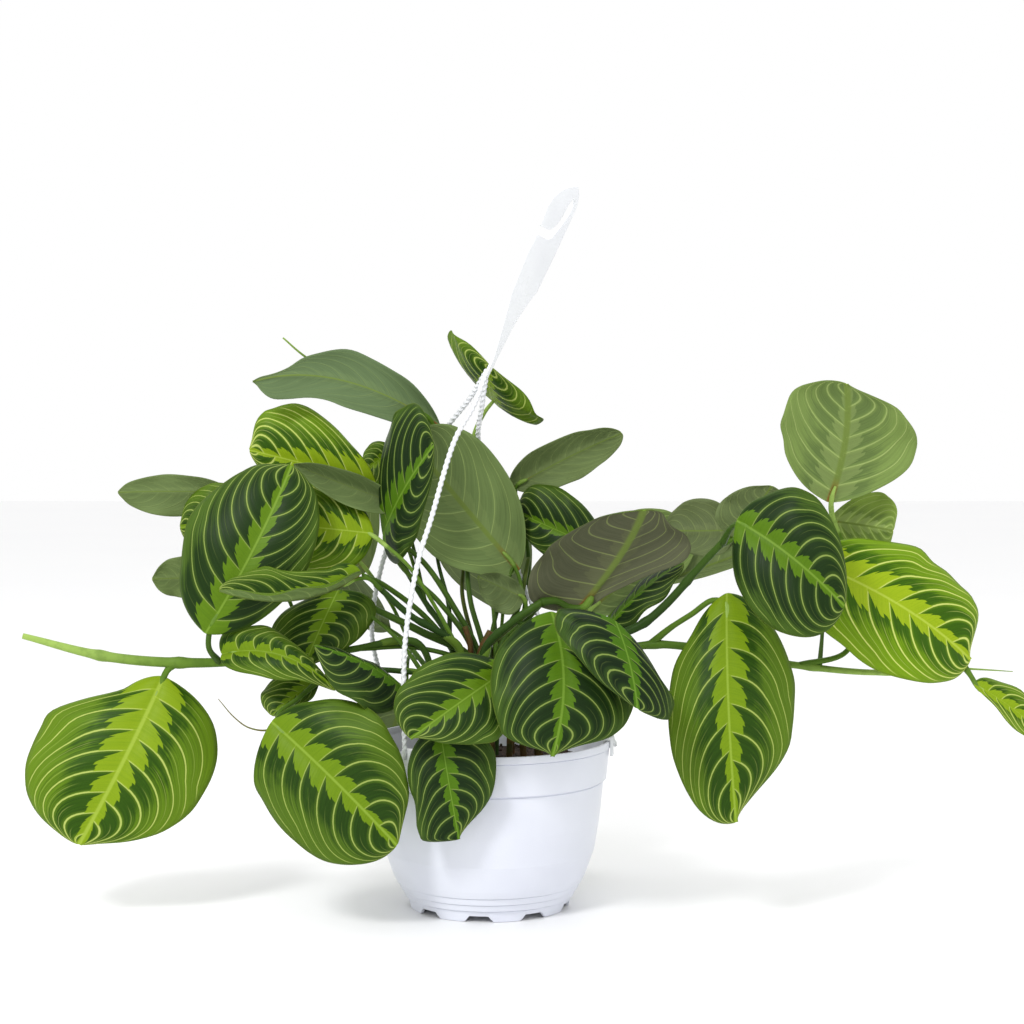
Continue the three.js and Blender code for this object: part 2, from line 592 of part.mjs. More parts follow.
// A clip that sits over the rim: an inverted U with a short leg inside the pot and a long one outside.
function makeClip(degrees) {
  const { width, leg, outerDrop, innerDrop, cap, innerClearance } = CLIP;
  const rimOutside = POT_OUTSIDE.at(-1)[0] + SEAT;
  const rimInside = POT_OUTSIDE.at(-1)[0] - POT_WALL - innerClearance;
  const top = POT_HEIGHT + SEAT + cap;
  const outline = new THREE.Shape();
  outline.moveTo(rimOutside, POT_HEIGHT + SEAT);
  outline.lineTo(rimOutside, top - outerDrop);
  outline.lineTo(rimOutside + leg, top - outerDrop);
  outline.lineTo(rimOutside + leg, top);
  outline.lineTo(rimInside - leg, top);
  outline.lineTo(rimInside - leg, top - innerDrop);
  outline.lineTo(rimInside, top - innerDrop);
  outline.lineTo(rimInside, POT_HEIGHT + SEAT);
  const geometry = new THREE.ExtrudeGeometry(outline, { depth: width, bevelEnabled: false });
  geometry.translate(0, 0, -width / 2);
  geometry.rotateX(Math.PI / 2);
  geometry.rotateZ(radians(degrees));
  return solidOf(geometry);
}

// The three arms meet just under the strap's lower end, and each ends in its clip.
function makeArms() {
  const arms = ARM_ROUTES.map((route) => tube(route, [ARM_RADIUS, ARM_RADIUS], ARM_SIDES));
  return joined([...arms, ...ARM_ANGLES.map(makeClip)]);
}

// ---------- leaves and stems ----------

// The share of a leaf's half-width at u, from 0 at its base to 1 at its tip.
// A smooth value at u from those given at the first tenth of the way, the second and so on to the end.
function atTenths(values, u) {
  const place = clamp(10 * u - 1, 0, values.length - 1);
  const k = Math.min(Math.floor(place), values.length - 2);
  const [a, b, c, d] = [k - 1, k, k + 1, k + 2].map((i) => values[clamp(i, 0, values.length - 1)]);
  const t = place - k;
  return b + 0.5 * t * (c - a + t * (2 * a - 5 * b + 4 * c - d + t * (3 * (b - c) + d - a)));
}

function halfWidth(u, tipRoundness, edge) {
  const beforeWidest = u < WIDEST;
  const t = beforeWidest ? 1 - u / WIDEST : (u - WIDEST) / (1 - WIDEST);
  const power = beforeWidest ? BASE_ROUNDNESS : tipRoundness;
  return Math.max((1 - t ** power) ** (1 / power) * atTenths(edge, u), END_SHARE);
}

// A leaf's midrib, the direction of its upper face and its surface, where v runs from -1 at the left edge to 1.
function leafForm(leaf) {
  const base = vector(leaf.base);
  const tip = vector(leaf.tip);
  const chord = tip.clone().sub(base);
  const normal = vector(leaf.right).sub(vector(leaf.left)).cross(chord).normalize();
  const middle = base.clone().add(tip).multiplyScalar(0.5);
  const arched = middle.clone().addScaledVector(normal, ARCH_SHARE * chord.length());
  const mid = leaf.mid ? vector(leaf.mid) : arched;
  mid.addScaledVector(vector(leaf.right).sub(vector(leaf.left)).normalize(), leaf.bow ?? 0);
  const control = mid.multiplyScalar(2).sub(middle);
  const midrib = new THREE.QuadraticBezierCurve3(base, control, tip);
  const widest = midrib.getPoint(WIDEST);
  const halves = { left: vector(leaf.left).sub(widest), right: vector(leaf.right).sub(widest) };
  const surface = (u, v) => {
    const half = v < 0 ? halves.left : halves.right;
    const reach = Math.abs(v);
    const edge = (v < 0 ? leaf.leftEdge : leaf.rightEdge) ?? PLAIN_EDGE;
    const width = halfWidth(u, leaf.tipRoundness ?? TIP_ROUNDNESS, edge);
    const puff = PUFF_SHARE * half.length() * 4 * reach * (1 - reach) * width;
    const phase = leaf.base[0] + (v < 0 ? 0 : 2);
    const wave = EDGE_WAVE * v * v * width * Math.sin(2 * Math.PI * EDGE_WAVES * u + phase);
    return midrib
      .getPoint(u)
      .addScaledVector(half, reach * width)
      .addScaledVector(normal, puff + wave);
  };
  return { midrib, normal, surface, length: chord.length() };
}

// A blade is a thin solid: its surface moved to both sides by half its thickness and closed round its edge.
function makeBlade({ surface, length }) {
  const { rows, halfColumns } = length < SMALL_LENGTH ? SMALL_BLADE : LARGE_BLADE;
  const columns = 2 * halfColumns;
  const nudge = 0.01;
  const upper = [];
  const lower = [];
  for (let i = 0; i <= rows; i += 1) {
    const u = 0.5 - 0.5 * Math.cos((Math.PI * i) / rows);
    upper.push([]);
    lower.push([]);
    for (let j = 0; j <= columns; j += 1) {
      const v = j / halfColumns - 1;
      const place = surface(u, v);
      const along = surface(Math.min(u + nudge, 1), v).sub(surface(Math.max(u - nudge, 0), v));
      const across = surface(u, Math.min(v + nudge, 1)).sub(surface(u, Math.max(v - nudge, -1)));
      const offset = across.cross(along).setLength(BLADE_THICKNESS / 2);
      upper[i].push(place.clone().add(offset));
      lower[i].push(place.clone().sub(offset));
    }
  }
  const triangles = [];
  const quad = (a, b, c, d) => triangles.push([a, b, c], [a, c, d]);
  for (let i = 0; i < rows; i += 1) {
    for (let j = 0; j < columns; j += 1) {
      const [a, b, c, d] = [[i, j], [i, j + 1], [i + 1, j + 1], [i + 1, j]];
      const corners = j < halfColumns ? [a, b, c, d] : [b, c, d, a];
      const [p, q, r, s] = corners.map(([row, column]) => upper[row][column]);
      const [e, f, g, h] = corners.map(([row, column]) => lower[row][column]);
      quad(p, q, r, s);
      triangles.push([e, g, f], [e, h, g]);
    }
    quad(upper[i][0], upper[i + 1][0], lower[i + 1][0], lower[i][0]);
    quad(lower[i][columns], lower[i + 1][columns], upper[i + 1][columns], upper[i][columns]);
  }
  for (let j = 0; j < columns; j += 1) {
    quad(upper[0][j], lower[0][j], lower[0][j + 1], upper[0][j + 1]);
    quad(upper[rows][j + 1], lower[rows][j + 1], lower[rows][j], upper[rows][j]);
  }
  return solidOfTriangles(triangles);
}

// The petiole ends just under the blade, a little way along its midrib.
function makePetiole(leaf, { midrib, normal }) {
  const radius = leaf.radius ?? PETIOLE_RADIUS;
  const end = midrib.getPoint(PETIOLE_SINK).addScaledVector(normal, -PETIOLE_DEPTH * radius);
  return tube([...leaf.petiole, end.toArray()], [radius, radius], PETIOLE_SIDES);
}

function makeLeafyStem({ root, stem, radii, leaves, threads = [] }) {
  const foot = [...root, HOLE_FLOOR + SEAT];
  const collar = [...root, SOIL_TOP + 3];
  const solids = [tube([foot, collar, ...stem], radii, STEM_SIDES)];
  for (const leaf of leaves) {
    const form = leafForm(leaf);
    solids.push(makeBlade(form), makePetiole(leaf, form));
  }
  for (const { radius, route } of threads) {
    solids.push(tube(route, [radius, radius], PETIOLE_SIDES));
  }
  return joined(solids);
}

// ---------- the plant in its pot ----------

const plant = new THREE.Group();
plant.add(meshOf(makePot(), "pot", COLOURS.pot, 0.35));
plant.add(meshOf(makeSoil(), "soil", COLOURS.soil, 0.95));
plant.add(meshOf(makeStrap(), "hanger_hook", COLOURS.hanger, 0.35));
plant.add(meshOf(makeArms(), "hanger_arms", COLOURS.hanger, 0.35));
for (const leafyStem of LEAFY_STEMS) {
  plant.add(meshOf(makeLeafyStem(leafyStem), leafyStem.name, COLOURS[leafyStem.colour], 0.45));
}

export default plant;
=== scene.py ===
"""Looks of the potted prayer plant: fine leaves, stems, pot, soil and hanger in place of the solids."""

import math
import random

import bmesh
import bpy
import numpy as np
from mathutils import Euler, Matrix, Vector, noise


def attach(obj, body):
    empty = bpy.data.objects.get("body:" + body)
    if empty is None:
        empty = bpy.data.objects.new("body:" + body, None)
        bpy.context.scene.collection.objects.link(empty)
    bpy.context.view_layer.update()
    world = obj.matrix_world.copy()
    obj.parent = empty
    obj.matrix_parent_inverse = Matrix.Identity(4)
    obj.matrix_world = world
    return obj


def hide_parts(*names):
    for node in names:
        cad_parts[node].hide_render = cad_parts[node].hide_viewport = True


MM = 0.001

# ---------- the object's measures, in millimetres, as in the solids ----------

# Pot: (radius, height) up the outside, from above the foot of its skirt to its rim, and down the inside.
SKIRT_FOOT = 56
POT_OUTSIDE = [
    (58, 7.5), (59.6, 8), (61.3, 12.4), (62.4, 12.8), (64.2, 17.4), (65.2, 17.8), (67.6, 22.8), (74, 40.5),
    (77.4, 61), (80.4, 89), (82.4, 90.6), (84.7, 112.4), (85.6, 113), (85.6, 118),
]
POT_INSIDE = [
    (83.8, 118), (83.8, 113), (78.6, 89), (75.6, 61), (72.2, 40.5), (65.8, 22.8), (55, 8.5), (0, 8.5),
]
POT_SIDES = 216
POT_ROUNDING = 0.3
POT_SHARP_ANGLE = 50
LEDGE = 0.85  # an outline step at least this wide is a ledge
LEDGE_HEIGHT = 2  # and it rises by less than this
LEDGE_GROOVE = 0.7
SKIRT_WALL = 1.8
FLOOR_UNDERSIDE = 6
PAD_RADIUS = 14
SKIRT_NOTCHES = 9
NOTCH_FOOT = 20  # a notch's width at the skirt's edge
NOTCH_CROWN = 13
NOTCH_HEIGHT = 4.2
NOTCH_TURN = 0.23
WELD_REACH = 0.02

# Soil: (radius, height) from the middle of its underside up to the foot of its mound.
SOIL_TOP = 102
SOIL_MOUND = 3
SOIL_RADIUS = 81.2
SOIL_WALL = [
    (0, 8.8), (54.7, 8.8), (65.5, 22.8), (71.9, 40.5), (75.3, 61), (78.3, 89),
    (SOIL_RADIUS, SOIL_TOP - SOIL_MOUND),
]
SOIL_RINGS = 46
SOIL_SIDES = 150
SOIL_CRUMBS = 420

# Hanger: its arms are flat strips twisted along their length.
ARM_WIDTH = 4
ARM_THICKNESS = 3
ARM_PITCH = 8.4  # the length of a full turn of the twist
ARM_SIDES = 10
ARM_STEP = 0.7
ARM_ROUTES = [
    [
        (-1.4, -10, 376), (-10, -24, 352), (-23, -36, 328), (-39, -52, 274),
        (-47, -58, 248), (-55.6, -66, 195), (-56.6, -69.9, 150), (-56, -69.2, 114),
    ],
    [
        (-1.4, -10, 376), (-14, 8, 356), (-30, 21, 336), (-45, 24, 310), (-60, 30, 283),
        (-79, 42, 232), (-86, 60, 180), (-72, 80, 138), (-31.9, 83.1, 114),
    ],
    [
        (-1.4, -10, 376), (-5, 5, 352), (-8, 24, 327), (2, 42, 290),
        (14, 46, 250), (32, 36, 206), (64, 10, 156), (84.4, -12.9, 123.5), (88.6, -14, 114),
    ],
]
ARM_ANGLES = [231, 111, 351]
CLIP_WIDTH = 8
CLIP_OUTLINE = [
    (85.9, 118.3), (85.9, 107.5), (88, 107.5), (88, 120.5), (80.9, 120.5), (80.9, 113.5), (83, 113.5),
    (83, 118.3),
]
CLIP_BEVEL = 0.5
STRAP_FOOT = (-1.4, -10, 373)
STRAP_LEAN = 25.7
STRAP_TURN = 58
STRAP_THICKNESS = 2.2
STRAP_BEVEL = 0.7
# The strap's outline in its own plane. A part with one point is a straight line to it. In a part with two, a
# curve leans towards the first and ends at the second.
STRAP_START = (-1.8, -2)
STRAP_PARTS = [
    [(1.8, -2)], [(2.4, 30)], [(3.4, 50), (11, 66)], [(11.3, 96)], [(10.2, 130)], [(8, 140), (0, 144)],
    [(-22, 138), (-24.5, 120)], [(-22, 107)], [(-13, 107.5)], [(-3, 107), (-1.2, 122)],
    [(-0.8, 135), (2.6, 135)], [(6.4, 135), (6.2, 126)], [(2, 100), (-10, 101.5)], [(-21, 101)],
    [(-21.5, 86)], [(-18.3, 59)], [(-10, 36), (-2.6, 12)],
]
CURVE_STEPS = 8
PLATE_SHARP_ANGLE = 40

# Leaves. A leaf's shape follows the same formula as its solid, on a finer grid.
BLADE_THICKNESS = 0.6
LARGE_LEAF = 80  # a leaf longer than this has the finer grid
LARGE_GRID = (52, 13)  # rows, and columns in each half
SMALL_GRID = (34, 9)
WIDEST = 0.45
BASE_ROUNDNESS = 2.1
TIP_ROUNDNESS = 1.85
END_SHARE = 0.03  # the half's width at its two ends
# How much of the formula's half width a leaf has at each tenth of its length.
PLAIN_EDGE = [0.98, 1, 1, 1.01, 1, 0.98, 0.98, 0.95, 0.86, 0.55]
FULL_EDGE = [1] * 10
ARCH_SHARE = 0.07  # how far the midrib rises, of its length
PUFF_SHARE = 0.1  # how far a half rises, of its width
EDGE_WAVE = 2
EDGE_WAVES = 2.3
QUILT = 0.45  # how far the blade rises between two side veins
GROOVE = 0.3  # how deep the midrib lies in the upper face
RIDGE = 0.9  # how far it stands out of the lower face
VEIN_SLANT = 0.2  # the share of a side vein's sweep that is straight
VEIN_SWEEP = 0.46  # how far towards the tip a side vein runs, of the leaf's length
VEIN_BEND = 3  # how late it turns that way
VEINS_SMALL = 5.5  # side veins in a half
VEINS_LARGE = 8.2
LEAF_SPECULAR = 0.1

# Stems. A petiole runs on under the blade, from the first of these shares of the midrib to the second.
HOLE_FLOOR = 84
STEM_SIDES = 12
STEM_STEP = 3
NODE_SWELL = 0.22  # how much thicker a stem is where it bears a leaf
NODE_REACH = 0.012
# A stem's brown foot is dry colour, darkened in part as painted shade under the leaves.
BROWN_TOP = SOIL_TOP + 34  # where a stem's brown foot ends
BROWN_FADE = 30
SHEATH_SHARES = [0.3, 0.52]
SHEATH_STEPS = 9
DRY_REACH = 45  # a lower sheath nearer to the pot's axis than this is dry and brown
PETIOLE_SIDES = 10
PETIOLE_STEP = 2.5
PETIOLE_RADIUS = 1.5
PETIOLE_SHARES = [0.05, 0.14]
PETIOLE_DEPTH = 0.9  # how far below the midrib, in its own radii
STALK_FLATNESS = 0.62
THREAD_SIDES = 8


def leaf(tone, base, tip, left, right, petiole, **special):
    """A leaf of the list below: left and right are its widest points, and petiole is its stalk's route."""
    return dict(tone=tone, base=base, tip=tip, left=left, right=right, petiole=petiole, **special)


# Each leafy stem has the solids' own points. A tone runs from 0, dark green, to 1, lemon green, and a leaf's
# blush is the share of grey purple on its lower face. One leaf's low tone is partly painted shade, as noted
# at it. Each of the stalks, which only crowd the middle, and of the threads is a thickness, a dryness and a
# route.
LEAFY_STEMS = {
    "shoot_left": dict(
        slot="foliage_bright", root=(-36, -6), radii=[2.4, 2.4, 2.4, 2.4, 2.8, 3.6, 3.4, 2], tone=0.95,
        stem=[(-38, -8, 140), (-49, -16, 186), (-100, -20, 182), (-172, -26, 175), (-224, -30, 175),
              (-267, -33, 180), (-319, -38, 194)],
        leaves=[
            leaf(0.64, (-224, -30, 165), (-277, -62, 55), (-191, -44, 90), (-311, -40, 126),
                [(-214, -29, 175), (-221, -30, 170)], radius=2.6, bow=-3,
                left_edge=[1.03, 1, 0.99, 0.98, 0.97, 0.98, 0.97, 0.93, 0.77, 0.4],
                right_edge=[0.5, 0.8, 1, 0.99, 0.99, 1, 1, 1, 0.93, 0.7]),
            leaf(0.2, (-192, -50, 197), (-136, -22, 310), (-204, -30, 277), (-124, -42, 240),
                [(-186, -28, 175), (-191, -43, 187)], radius=2.2, bow=5,
                left_edge=[0.97, 0.93, 0.95, 1, 1, 0.96, 0.9, 0.85, 0.8, 0.5],
                right_edge=[1, 1, 1, 1, 1, 1, 1, 0.98, 0.95, 0.7]),
            leaf(0.42, (-182, -42, 182), (-103, -62, 160), (-157, -46, 204), (-150, -62, 168),
                [(-176, -27, 175), (-182, -37, 179)], mid=(-139, -58, 183),
                left_edge=[0.9, 0.85, 0.85, 0.88, 0.95, 1, 1, 1, 1, 1],
                right_edge=[1, 1, 1, 1, 0.98, 0.87, 0.7, 0.62, 0.5, 0.4]),
            leaf(0.4, (-159, 4, 271), (-217, 4, 266), (-189, 4, 243), (-193, 8, 297),
                [(-120, -21, 180), (-140, 0, 214), (-156, 5, 258)], blush=0.3),
            leaf(0.35, (-182, 16, 290), (-259, -4, 291), (-223, 8, 303), (-221, 12, 273),
                [(-148, 3, 235), (-172, 14, 278)], blush=0.2),
            leaf(0.4, (-191, 8, 230), (-236, -2, 230), (-214, 4, 246), (-215, 6, 216),
                [(-145, 2, 224), (-170, 8, 228)], blush=0.2),
        ],
    ),
    "shoot_left_front": dict(
        slot="foliage_bright", root=(-30, -28), radii=[2.2, 2.2, 2, 2, 1.8, 1.8], tone=0.3,
        stem=[(-32, -30, 140), (-40, -32, 165), (-61, -39, 170), (-99, -37, 170), (-116, -32, 164)],
        leaves=[
            leaf(0.37, (-145, -72, 140), (-60, -98, 62), (-75, -84, 147), (-133, -88, 67),
                [(-114, -33, 165), (-130, -49, 152), (-141, -66, 144)], radius=1.9, bow=-3,
                left_edge=[0.8, 0.9, 0.96, 1, 1.02, 1, 1, 0.98, 0.95, 0.5],
                right_edge=[1.18, 1.06, 1.02, 1, 1, 1.03, 1.05, 1.03, 1, 1]),
            leaf(0.06, (-56, -50, 158), (-115, -84, 193), (-85, -84, 152), (-82, -52, 178),
                [(-38, -32, 160), (-48, -44, 160)]),
            leaf(0.35, (-118, -26, 163), (-148, -44, 140), (-127, -38, 146), (-152, -30, 160),
                [(-106, -35, 168), (-113, -29, 165)]),
            leaf(0.3, (-105, -14, 223), (-127, -34, 172), (-80, -18, 203), (-150, -24, 198),
                [(-41, -31, 161), (-62, -25, 189), (-86, -18, 209), (-100, -14, 219)]),
        ],
        threads=[(0.7, 0.7, [(-136, -58, 147), (-147, -58, 133), (-162, -54, 133), (-173, -51, 140),
            (-184, -48, 152)])],
    ),
    "shoot_left_upper": dict(
        slot="foliage_bright", root=(-18, -14), radii=[2.4, 2.4, 2.6, 2.4, 2], tone=0.2,
        stem=[(-18, -14, 150), (-20, -15, 182), (-55, -22, 207), (-78, -30, 229)],
        leaves=[
            leaf(0.4, (-87, -40, 237), (-179, -74, 228), (-121, -90, 230), (-136, -50, 247),
                [(-74, -30, 225), (-82, -36, 233)], mid=(-130, -62, 221), left_edge=FULL_EDGE,
                right_edge=[0.8, 0.6, 0.6, 0.65, 0.8, 1, 0.9, 0.8, 0.8, 0.7]),
            leaf(0.65, (-81, -2, 262), (-158, 2, 269), (-118, -4, 234), (-122, 7, 301),
                [(-22, -15, 183), (-36, -12, 209), (-55, -14, 239), (-73, -10, 255)]),
        ],
        stalks=[
            (4.2, 0, [(-8, -4, 98), (-12, -5, 146), (-13, -5, 174), (-48, -8, 194), (-80, -11, 210),
                (-104, -13, 222)]),
            (2.6, 0, [(-10, -6, 98), (-14, -8, 144), (-16, -8, 170), (-50, -13, 183), (-90, -19.3, 182.7)]),
            (3.2, 0, [(-14, -2, 98), (-19, -2, 140), (-22, -1, 172), (-44, 2, 202), (-72, -12, 226),
                (-85, -36, 235)]),
        ],
    ),
    "shoot_top_left": dict(
        slot="foliage_dark", root=(-20, 8), radii=[2.2, 2.2, 2.2, 2, 1.8], tone=0.25,
        stem=[(-21, 8, 150), (-28, 8, 186), (-46, 15, 213), (-64, 17, 243)],
        leaves=[
            leaf(0.1, (-75, 12, 260), (-38, -18, 324), (-66, -4, 347), (-57, -6, 245),
                [(-62, 17, 240), (-70, 15, 252)],
                left_edge=[1.1, 1.05, 1, 0.97, 0.95, 0.93, 0.95, 0.97, 1, 1],
                right_edge=[0.85, 0.88, 0.9, 0.93, 0.93, 0.95, 0.97, 1, 1, 1]),
            # This leaf faces down: part of its tone of 0 is painted shade, which darkens the lower face that
            # shows.
            leaf(0, (-35, 22, 337), (-164, -8, 368), (-101, 2, 392), (-107, 4, 352),
                [(-28, 8, 186), (-29, 16, 210), (-37, 28, 241), (-42, 34, 284), (-38, 30, 320)],
                tip_roundness=1.35, mid=(-103, 8, 369),
                left_edge=[1.2, 1.05, 1, 1, 0.9, 0.78, 0.65, 0.35, 0.25, 0.5],
                right_edge=[1, 1, 1, 1, 0.95, 1.1, 1.5, 1.85, 1.7, 1]),
            leaf(0.35, (-70, 32, 320), (-90, 24, 304), (-75, 26, 293), (-85, 28, 324),
                [(-42, 34, 284), (-56, 36, 303), (-66, 34, 314)], blush=0.2),
            leaf(0.75, (-81, 22, 297), (-169, 13, 320), (-120, 17, 282), (-134, 20, 355),
                [(-46, 15, 213), (-58, 24, 250), (-72, 25, 286)],
                left_edge=[1, 1, 1, 1, 1, 1, 1, 1, 1, 0.9],
                right_edge=[0.72, 0.82, 0.88, 0.93, 0.94, 0.91, 0.88, 0.88, 0.77, 0.35]),
            leaf(0.3, (-65, 14, 282), (-135, -18, 311), (-92, -8, 304), (-96, -10, 281),
                [(-46, 15, 213), (-54, 22, 250), (-60, 17, 270)], blush=0.2),
        ],
        threads=[(1.5, 0, [(-39, 30, 317), (-60, 30, 346), (-91, 22, 363), (-130, 16, 386),
            (-145, 12, 399)])],
    ),
    "shoot_top": dict(
        slot="foliage_grey", root=(0, 12), radii=[2.4, 2.4, 2.2, 1.8],
        stem=[(0, 12, 150), (7, 14, 178), (20, 22, 202)],
        leaves=[
            leaf(0.36, (21, 34, 233), (-57, 4, 329), (3, 18, 317), (-50, 12, 256),
                [(18, 21, 199), (23, 28, 219)], blush=0.1,
                left_edge=[1, 1, 1, 1, 1, 1, 0.98, 0.95, 0.85, 0.6],
                right_edge=[0.85, 0.95, 1, 1, 1, 1, 1, 1, 1, 0.8]),
            leaf(0.5, (3, 44, 354), (1, 2, 379), (-29, 22, 402), (37, 26, 341),
                [(5, 13, 172), (2, 38, 211), (-8, 52, 269), (-12, 52, 327), (-4, 48, 346)]),
            leaf(0.3, (25, 20, 215), (-8, 8, 231), (13, 14, 231), (6, 14, 205),
                [(12, 17, 188), (22, 19, 199), (26, 20, 208)], blush=0.3),
        ],
        stalks=[
            (4.6, 0.9, [(-5, -1, 98), (-8, -4, 140), (-8, -6, 165), (-5, -8, 182), (1, -8, 194)]),
            (3.8, 0.9, [(-9, 3, 98), (-14, 0, 140), (-15, -4, 167), (-13, -5, 182), (-17, -4, 197)]),
        ],
    ),
    "shoot_rear_right": dict(
        slot="foliage_dark", root=(16, 28), radii=[2, 2, 1.8, 1.6, 1.6],
        stem=[(17, 29, 150), (24, 40, 197), (28, 50, 240), (22, 56, 276)],
        leaves=[
            leaf(0.35, (16, 52, 292), (93, 8, 332), (68, 28, 301), (42, 26, 326),
                [(23, 55, 272), (19, 55, 284)], blush=0.3,
                left_edge=[1, 1.03, 1.03, 1.02, 0.95, 0.9, 0.9, 0.85, 0.8, 0.7],
                right_edge=[1, 1, 1, 0.97, 0.92, 0.9, 0.93, 0.93, 1, 1]),
            leaf(0.15, (83, 16, 248), (19, 44, 275), (47, 24, 240), (49, 31, 293),
                [(19, 32, 166), (46, 24, 199), (70, 17, 230)]),
        ],
        stalks=[
            (3, 0.2, [(1, 18, 98), (2, 25, 144), (2, 25, 174), (20, 30, 206), (28, 48, 241)]),
            (2.8, 0, [(4, 21, 98), (6, 30, 142), (7, 30, 170), (40, 36, 212), (66, 30, 238),
                (82, 18, 247)]),
        ],
    ),
    "shoot_centre_right": dict(
        slot="foliage_grey", root=(2, -16), radii=[2.6, 2.6, 2.8, 2.8, 2.8], tone=0.3,
        stem=[(0, -17, 150), (-3, -20, 182), (16, -24, 202), (38, -26, 217)],
        leaves=[
            leaf(0.2, (62, -18, 209), (105, -56, 281), (139, -34, 249), (31, -40, 241),
                [(36, -26, 216), (46, -25, 217), (56, -20, 212)], blush=0.9, radius=2.6, bow=-8,
                left_edge=[0.3, 0.5, 0.68, 0.92, 0.95, 0.88, 0.78, 0.62, 0.6, 0.8],
                right_edge=[1, 0.98, 0.99, 1, 1, 1.04, 1.12, 1.1, 1.15, 1.6]),
            leaf(0.1, (82, -6, 195), (135, -16, 242), (107, 14, 225), (113, -24, 212),
                [(18, -24, 203), (50, -16, 192), (72, -9, 192)]),
        ],
        stalks=[
            (3.6, 0.2, [(-4, -10, 98), (-5, -15, 146), (-6, -17, 177), (13, -20, 197), (37, -25, 216)]),
        ],
    ),
    "shoot_right_upper": dict(
        slot="foliage_dark", root=(24, -26), radii=[2.4, 2.4, 2.6, 3, 3, 2.8, 2.4], tone=0.3,
        stem=[(25, -27, 140), (49, -30, 177), (104, -28, 200), (121, -30, 214), (145, -36, 242),
              (161, -47, 261)],
        leaves=[
            leaf(0.15, (166, -72, 275), (233, -104, 221), (214, -84, 295), (182, -98, 209),
                [(159, -45, 258), (164, -60, 270)], radius=2.2, bow=-3.5,
                left_edge=[0.75, 0.85, 0.92, 0.95, 0.98, 0.97, 0.95, 0.93, 0.87, 0.75],
                right_edge=[1.03, 1, 1, 1, 1, 1, 1, 1, 1, 1]),
            leaf(0.35, (172, -26, 266), (122, 0, 264), (147, -8, 287), (150, -18, 247),
                [(143, -35, 240), (160, -32, 256), (169, -28, 263)], blush=0.5),
            leaf(0.35, (169, -34, 261), (192, -46, 297), (204, -50, 274), (158, -38, 285),
                [(157, -44, 256), (164, -37, 258)], blush=0.4),
        ],
    ),
    "shoot_right": dict(
        slot="foliage_bright", root=(34, -10), radii=[2.6, 2.6, 2.6, 2.8, 2.8, 2.4, 2, 1.8], tone=1.1,
        stem=[(35, -11, 140), (40, -14, 168), (108, -24, 186), (133, -28, 186), (211, -30, 173),
              (270, -24, 167), (331, -24, 171)],
        leaves=[
            leaf(0.47, (162, -46, 224), (165, -86, 75), (208, -58, 158), (121, -66, 139),
                [(112, -24, 187), (125, -32, 199), (139, -38, 209), (153, -43, 219)], radius=2.2, bow=3.5,
                left_edge=[0.85, 0.9, 0.95, 1, 0.98, 0.97, 0.96, 0.8, 0.48, 0.1],
                right_edge=[0.85, 1, 1, 1, 1, 1, 0.98, 0.98, 1, 1]),
            leaf(1, (215, -48, 247), (333, -24, 176), (305, -20, 252), (254, -62, 178),
                [(190, -30, 177), (196, -34, 205), (207, -42, 233)], radius=1.8, bow=-3,
                left_edge=[0.9, 0.87, 0.9, 0.93, 0.85, 0.9, 0.93, 1, 0.93, 0.1],
                right_edge=[1, 1, 0.98, 1, 1, 1, 1, 1, 1, 1.1]),
            leaf(0.6, (234, -28, 285), (240, -62, 366), (292, -40, 323), (198, -48, 342),
                [(214, -30, 173), (247, -26, 182), (257, -10, 216), (248, -8, 251), (237, -21, 276)],
                blush=0.05, radius=1.8, bow=-6, tip_roundness=1.6,
                left_edge=[0.9, 0.95, 1, 1, 1, 1, 0.98, 0.96, 0.7, 0.3],
                right_edge=[0.95, 0.97, 0.95, 1, 1, 1.03, 1.08, 1.1, 1.1, 1.2]),
            leaf(1, (238, 2, 271), (280, -16, 265), (263, -4, 244), (272, -10, 291),
                [(257, -10, 216), (252, 2, 243), (244, 4, 261)]),
            leaf(0.7, (335, -28, 160), (392, -44, 115), (369, -28, 153), (352, -42, 135),
                [(329, -24, 171), (333, -26, 165)], radius=2,
                left_edge=[1, 1, 1, 1, 1, 1, 1, 0.97, 0.9, 0.6],
                right_edge=[0.4, 0.5, 0.6, 0.7, 0.8, 0.95, 1, 1, 0.9, 0.6]),
            leaf(0.4, (238, 30, 228), (300, 85, 216), (266, 70, 246), (258, 62, 196),
                [(228, -29, 172), (234, 0, 196), (236, 22, 219)], blush=0.2),
        ],
        threads=[(0.7, 0, [(324, -24, 170), (345, -25, 169), (362, -26, 168)])],
    ),
    "shoot_front": dict(
        slot="foliage_dark", root=(-4, -36), radii=[2.2, 2.2, 2, 1.8],
        stem=[(-4, -37, 128), (0, -42, 148), (8, -58, 156)],
        leaves=[
            leaf(0.2, (15, -84, 178), (-50, -112, 135), (2, -110, 129), (-47, -98, 182),
                [(6, -55, 155), (14, -73, 164), (16, -80, 173)],
                left_edge=[1, 1, 0.98, 0.97, 0.86, 0.76, 0.66, 0.55, 0.32, 0.1],
                right_edge=[1, 0.95, 0.92, 0.93, 0.92, 0.9, 0.95, 0.98, 0.97, 0.9]),
            leaf(0.1, (-32, -88, 140), (-19, -98, 66), (5, -94, 113), (-53, -94, 101),
                [(5, -53, 154), (-12, -72, 155), (-27, -84, 147)],
                left_edge=[1.05, 1.08, 1.08, 1.04, 1, 0.97, 0.91, 0.75, 0.42, 0.1],
                right_edge=[0.95, 0.97, 0.98, 0.97, 0.96, 0.95, 1.06, 1.29, 1.73, 2.8]),
        ],
    ),
    "shoot_front_right": dict(
        slot="foliage_dark", root=(14, -42), radii=[2.2, 2.2, 2, 1.8],
        stem=[(15, -43, 128), (20, -50, 165), (37, -71, 194)],
        leaves=[
            leaf(0.12, (42, -92, 216), (42, -128, 126), (96, -106, 162), (2, -112, 168),
                [(35, -69, 191), (41, -84, 210)], bow=-7,
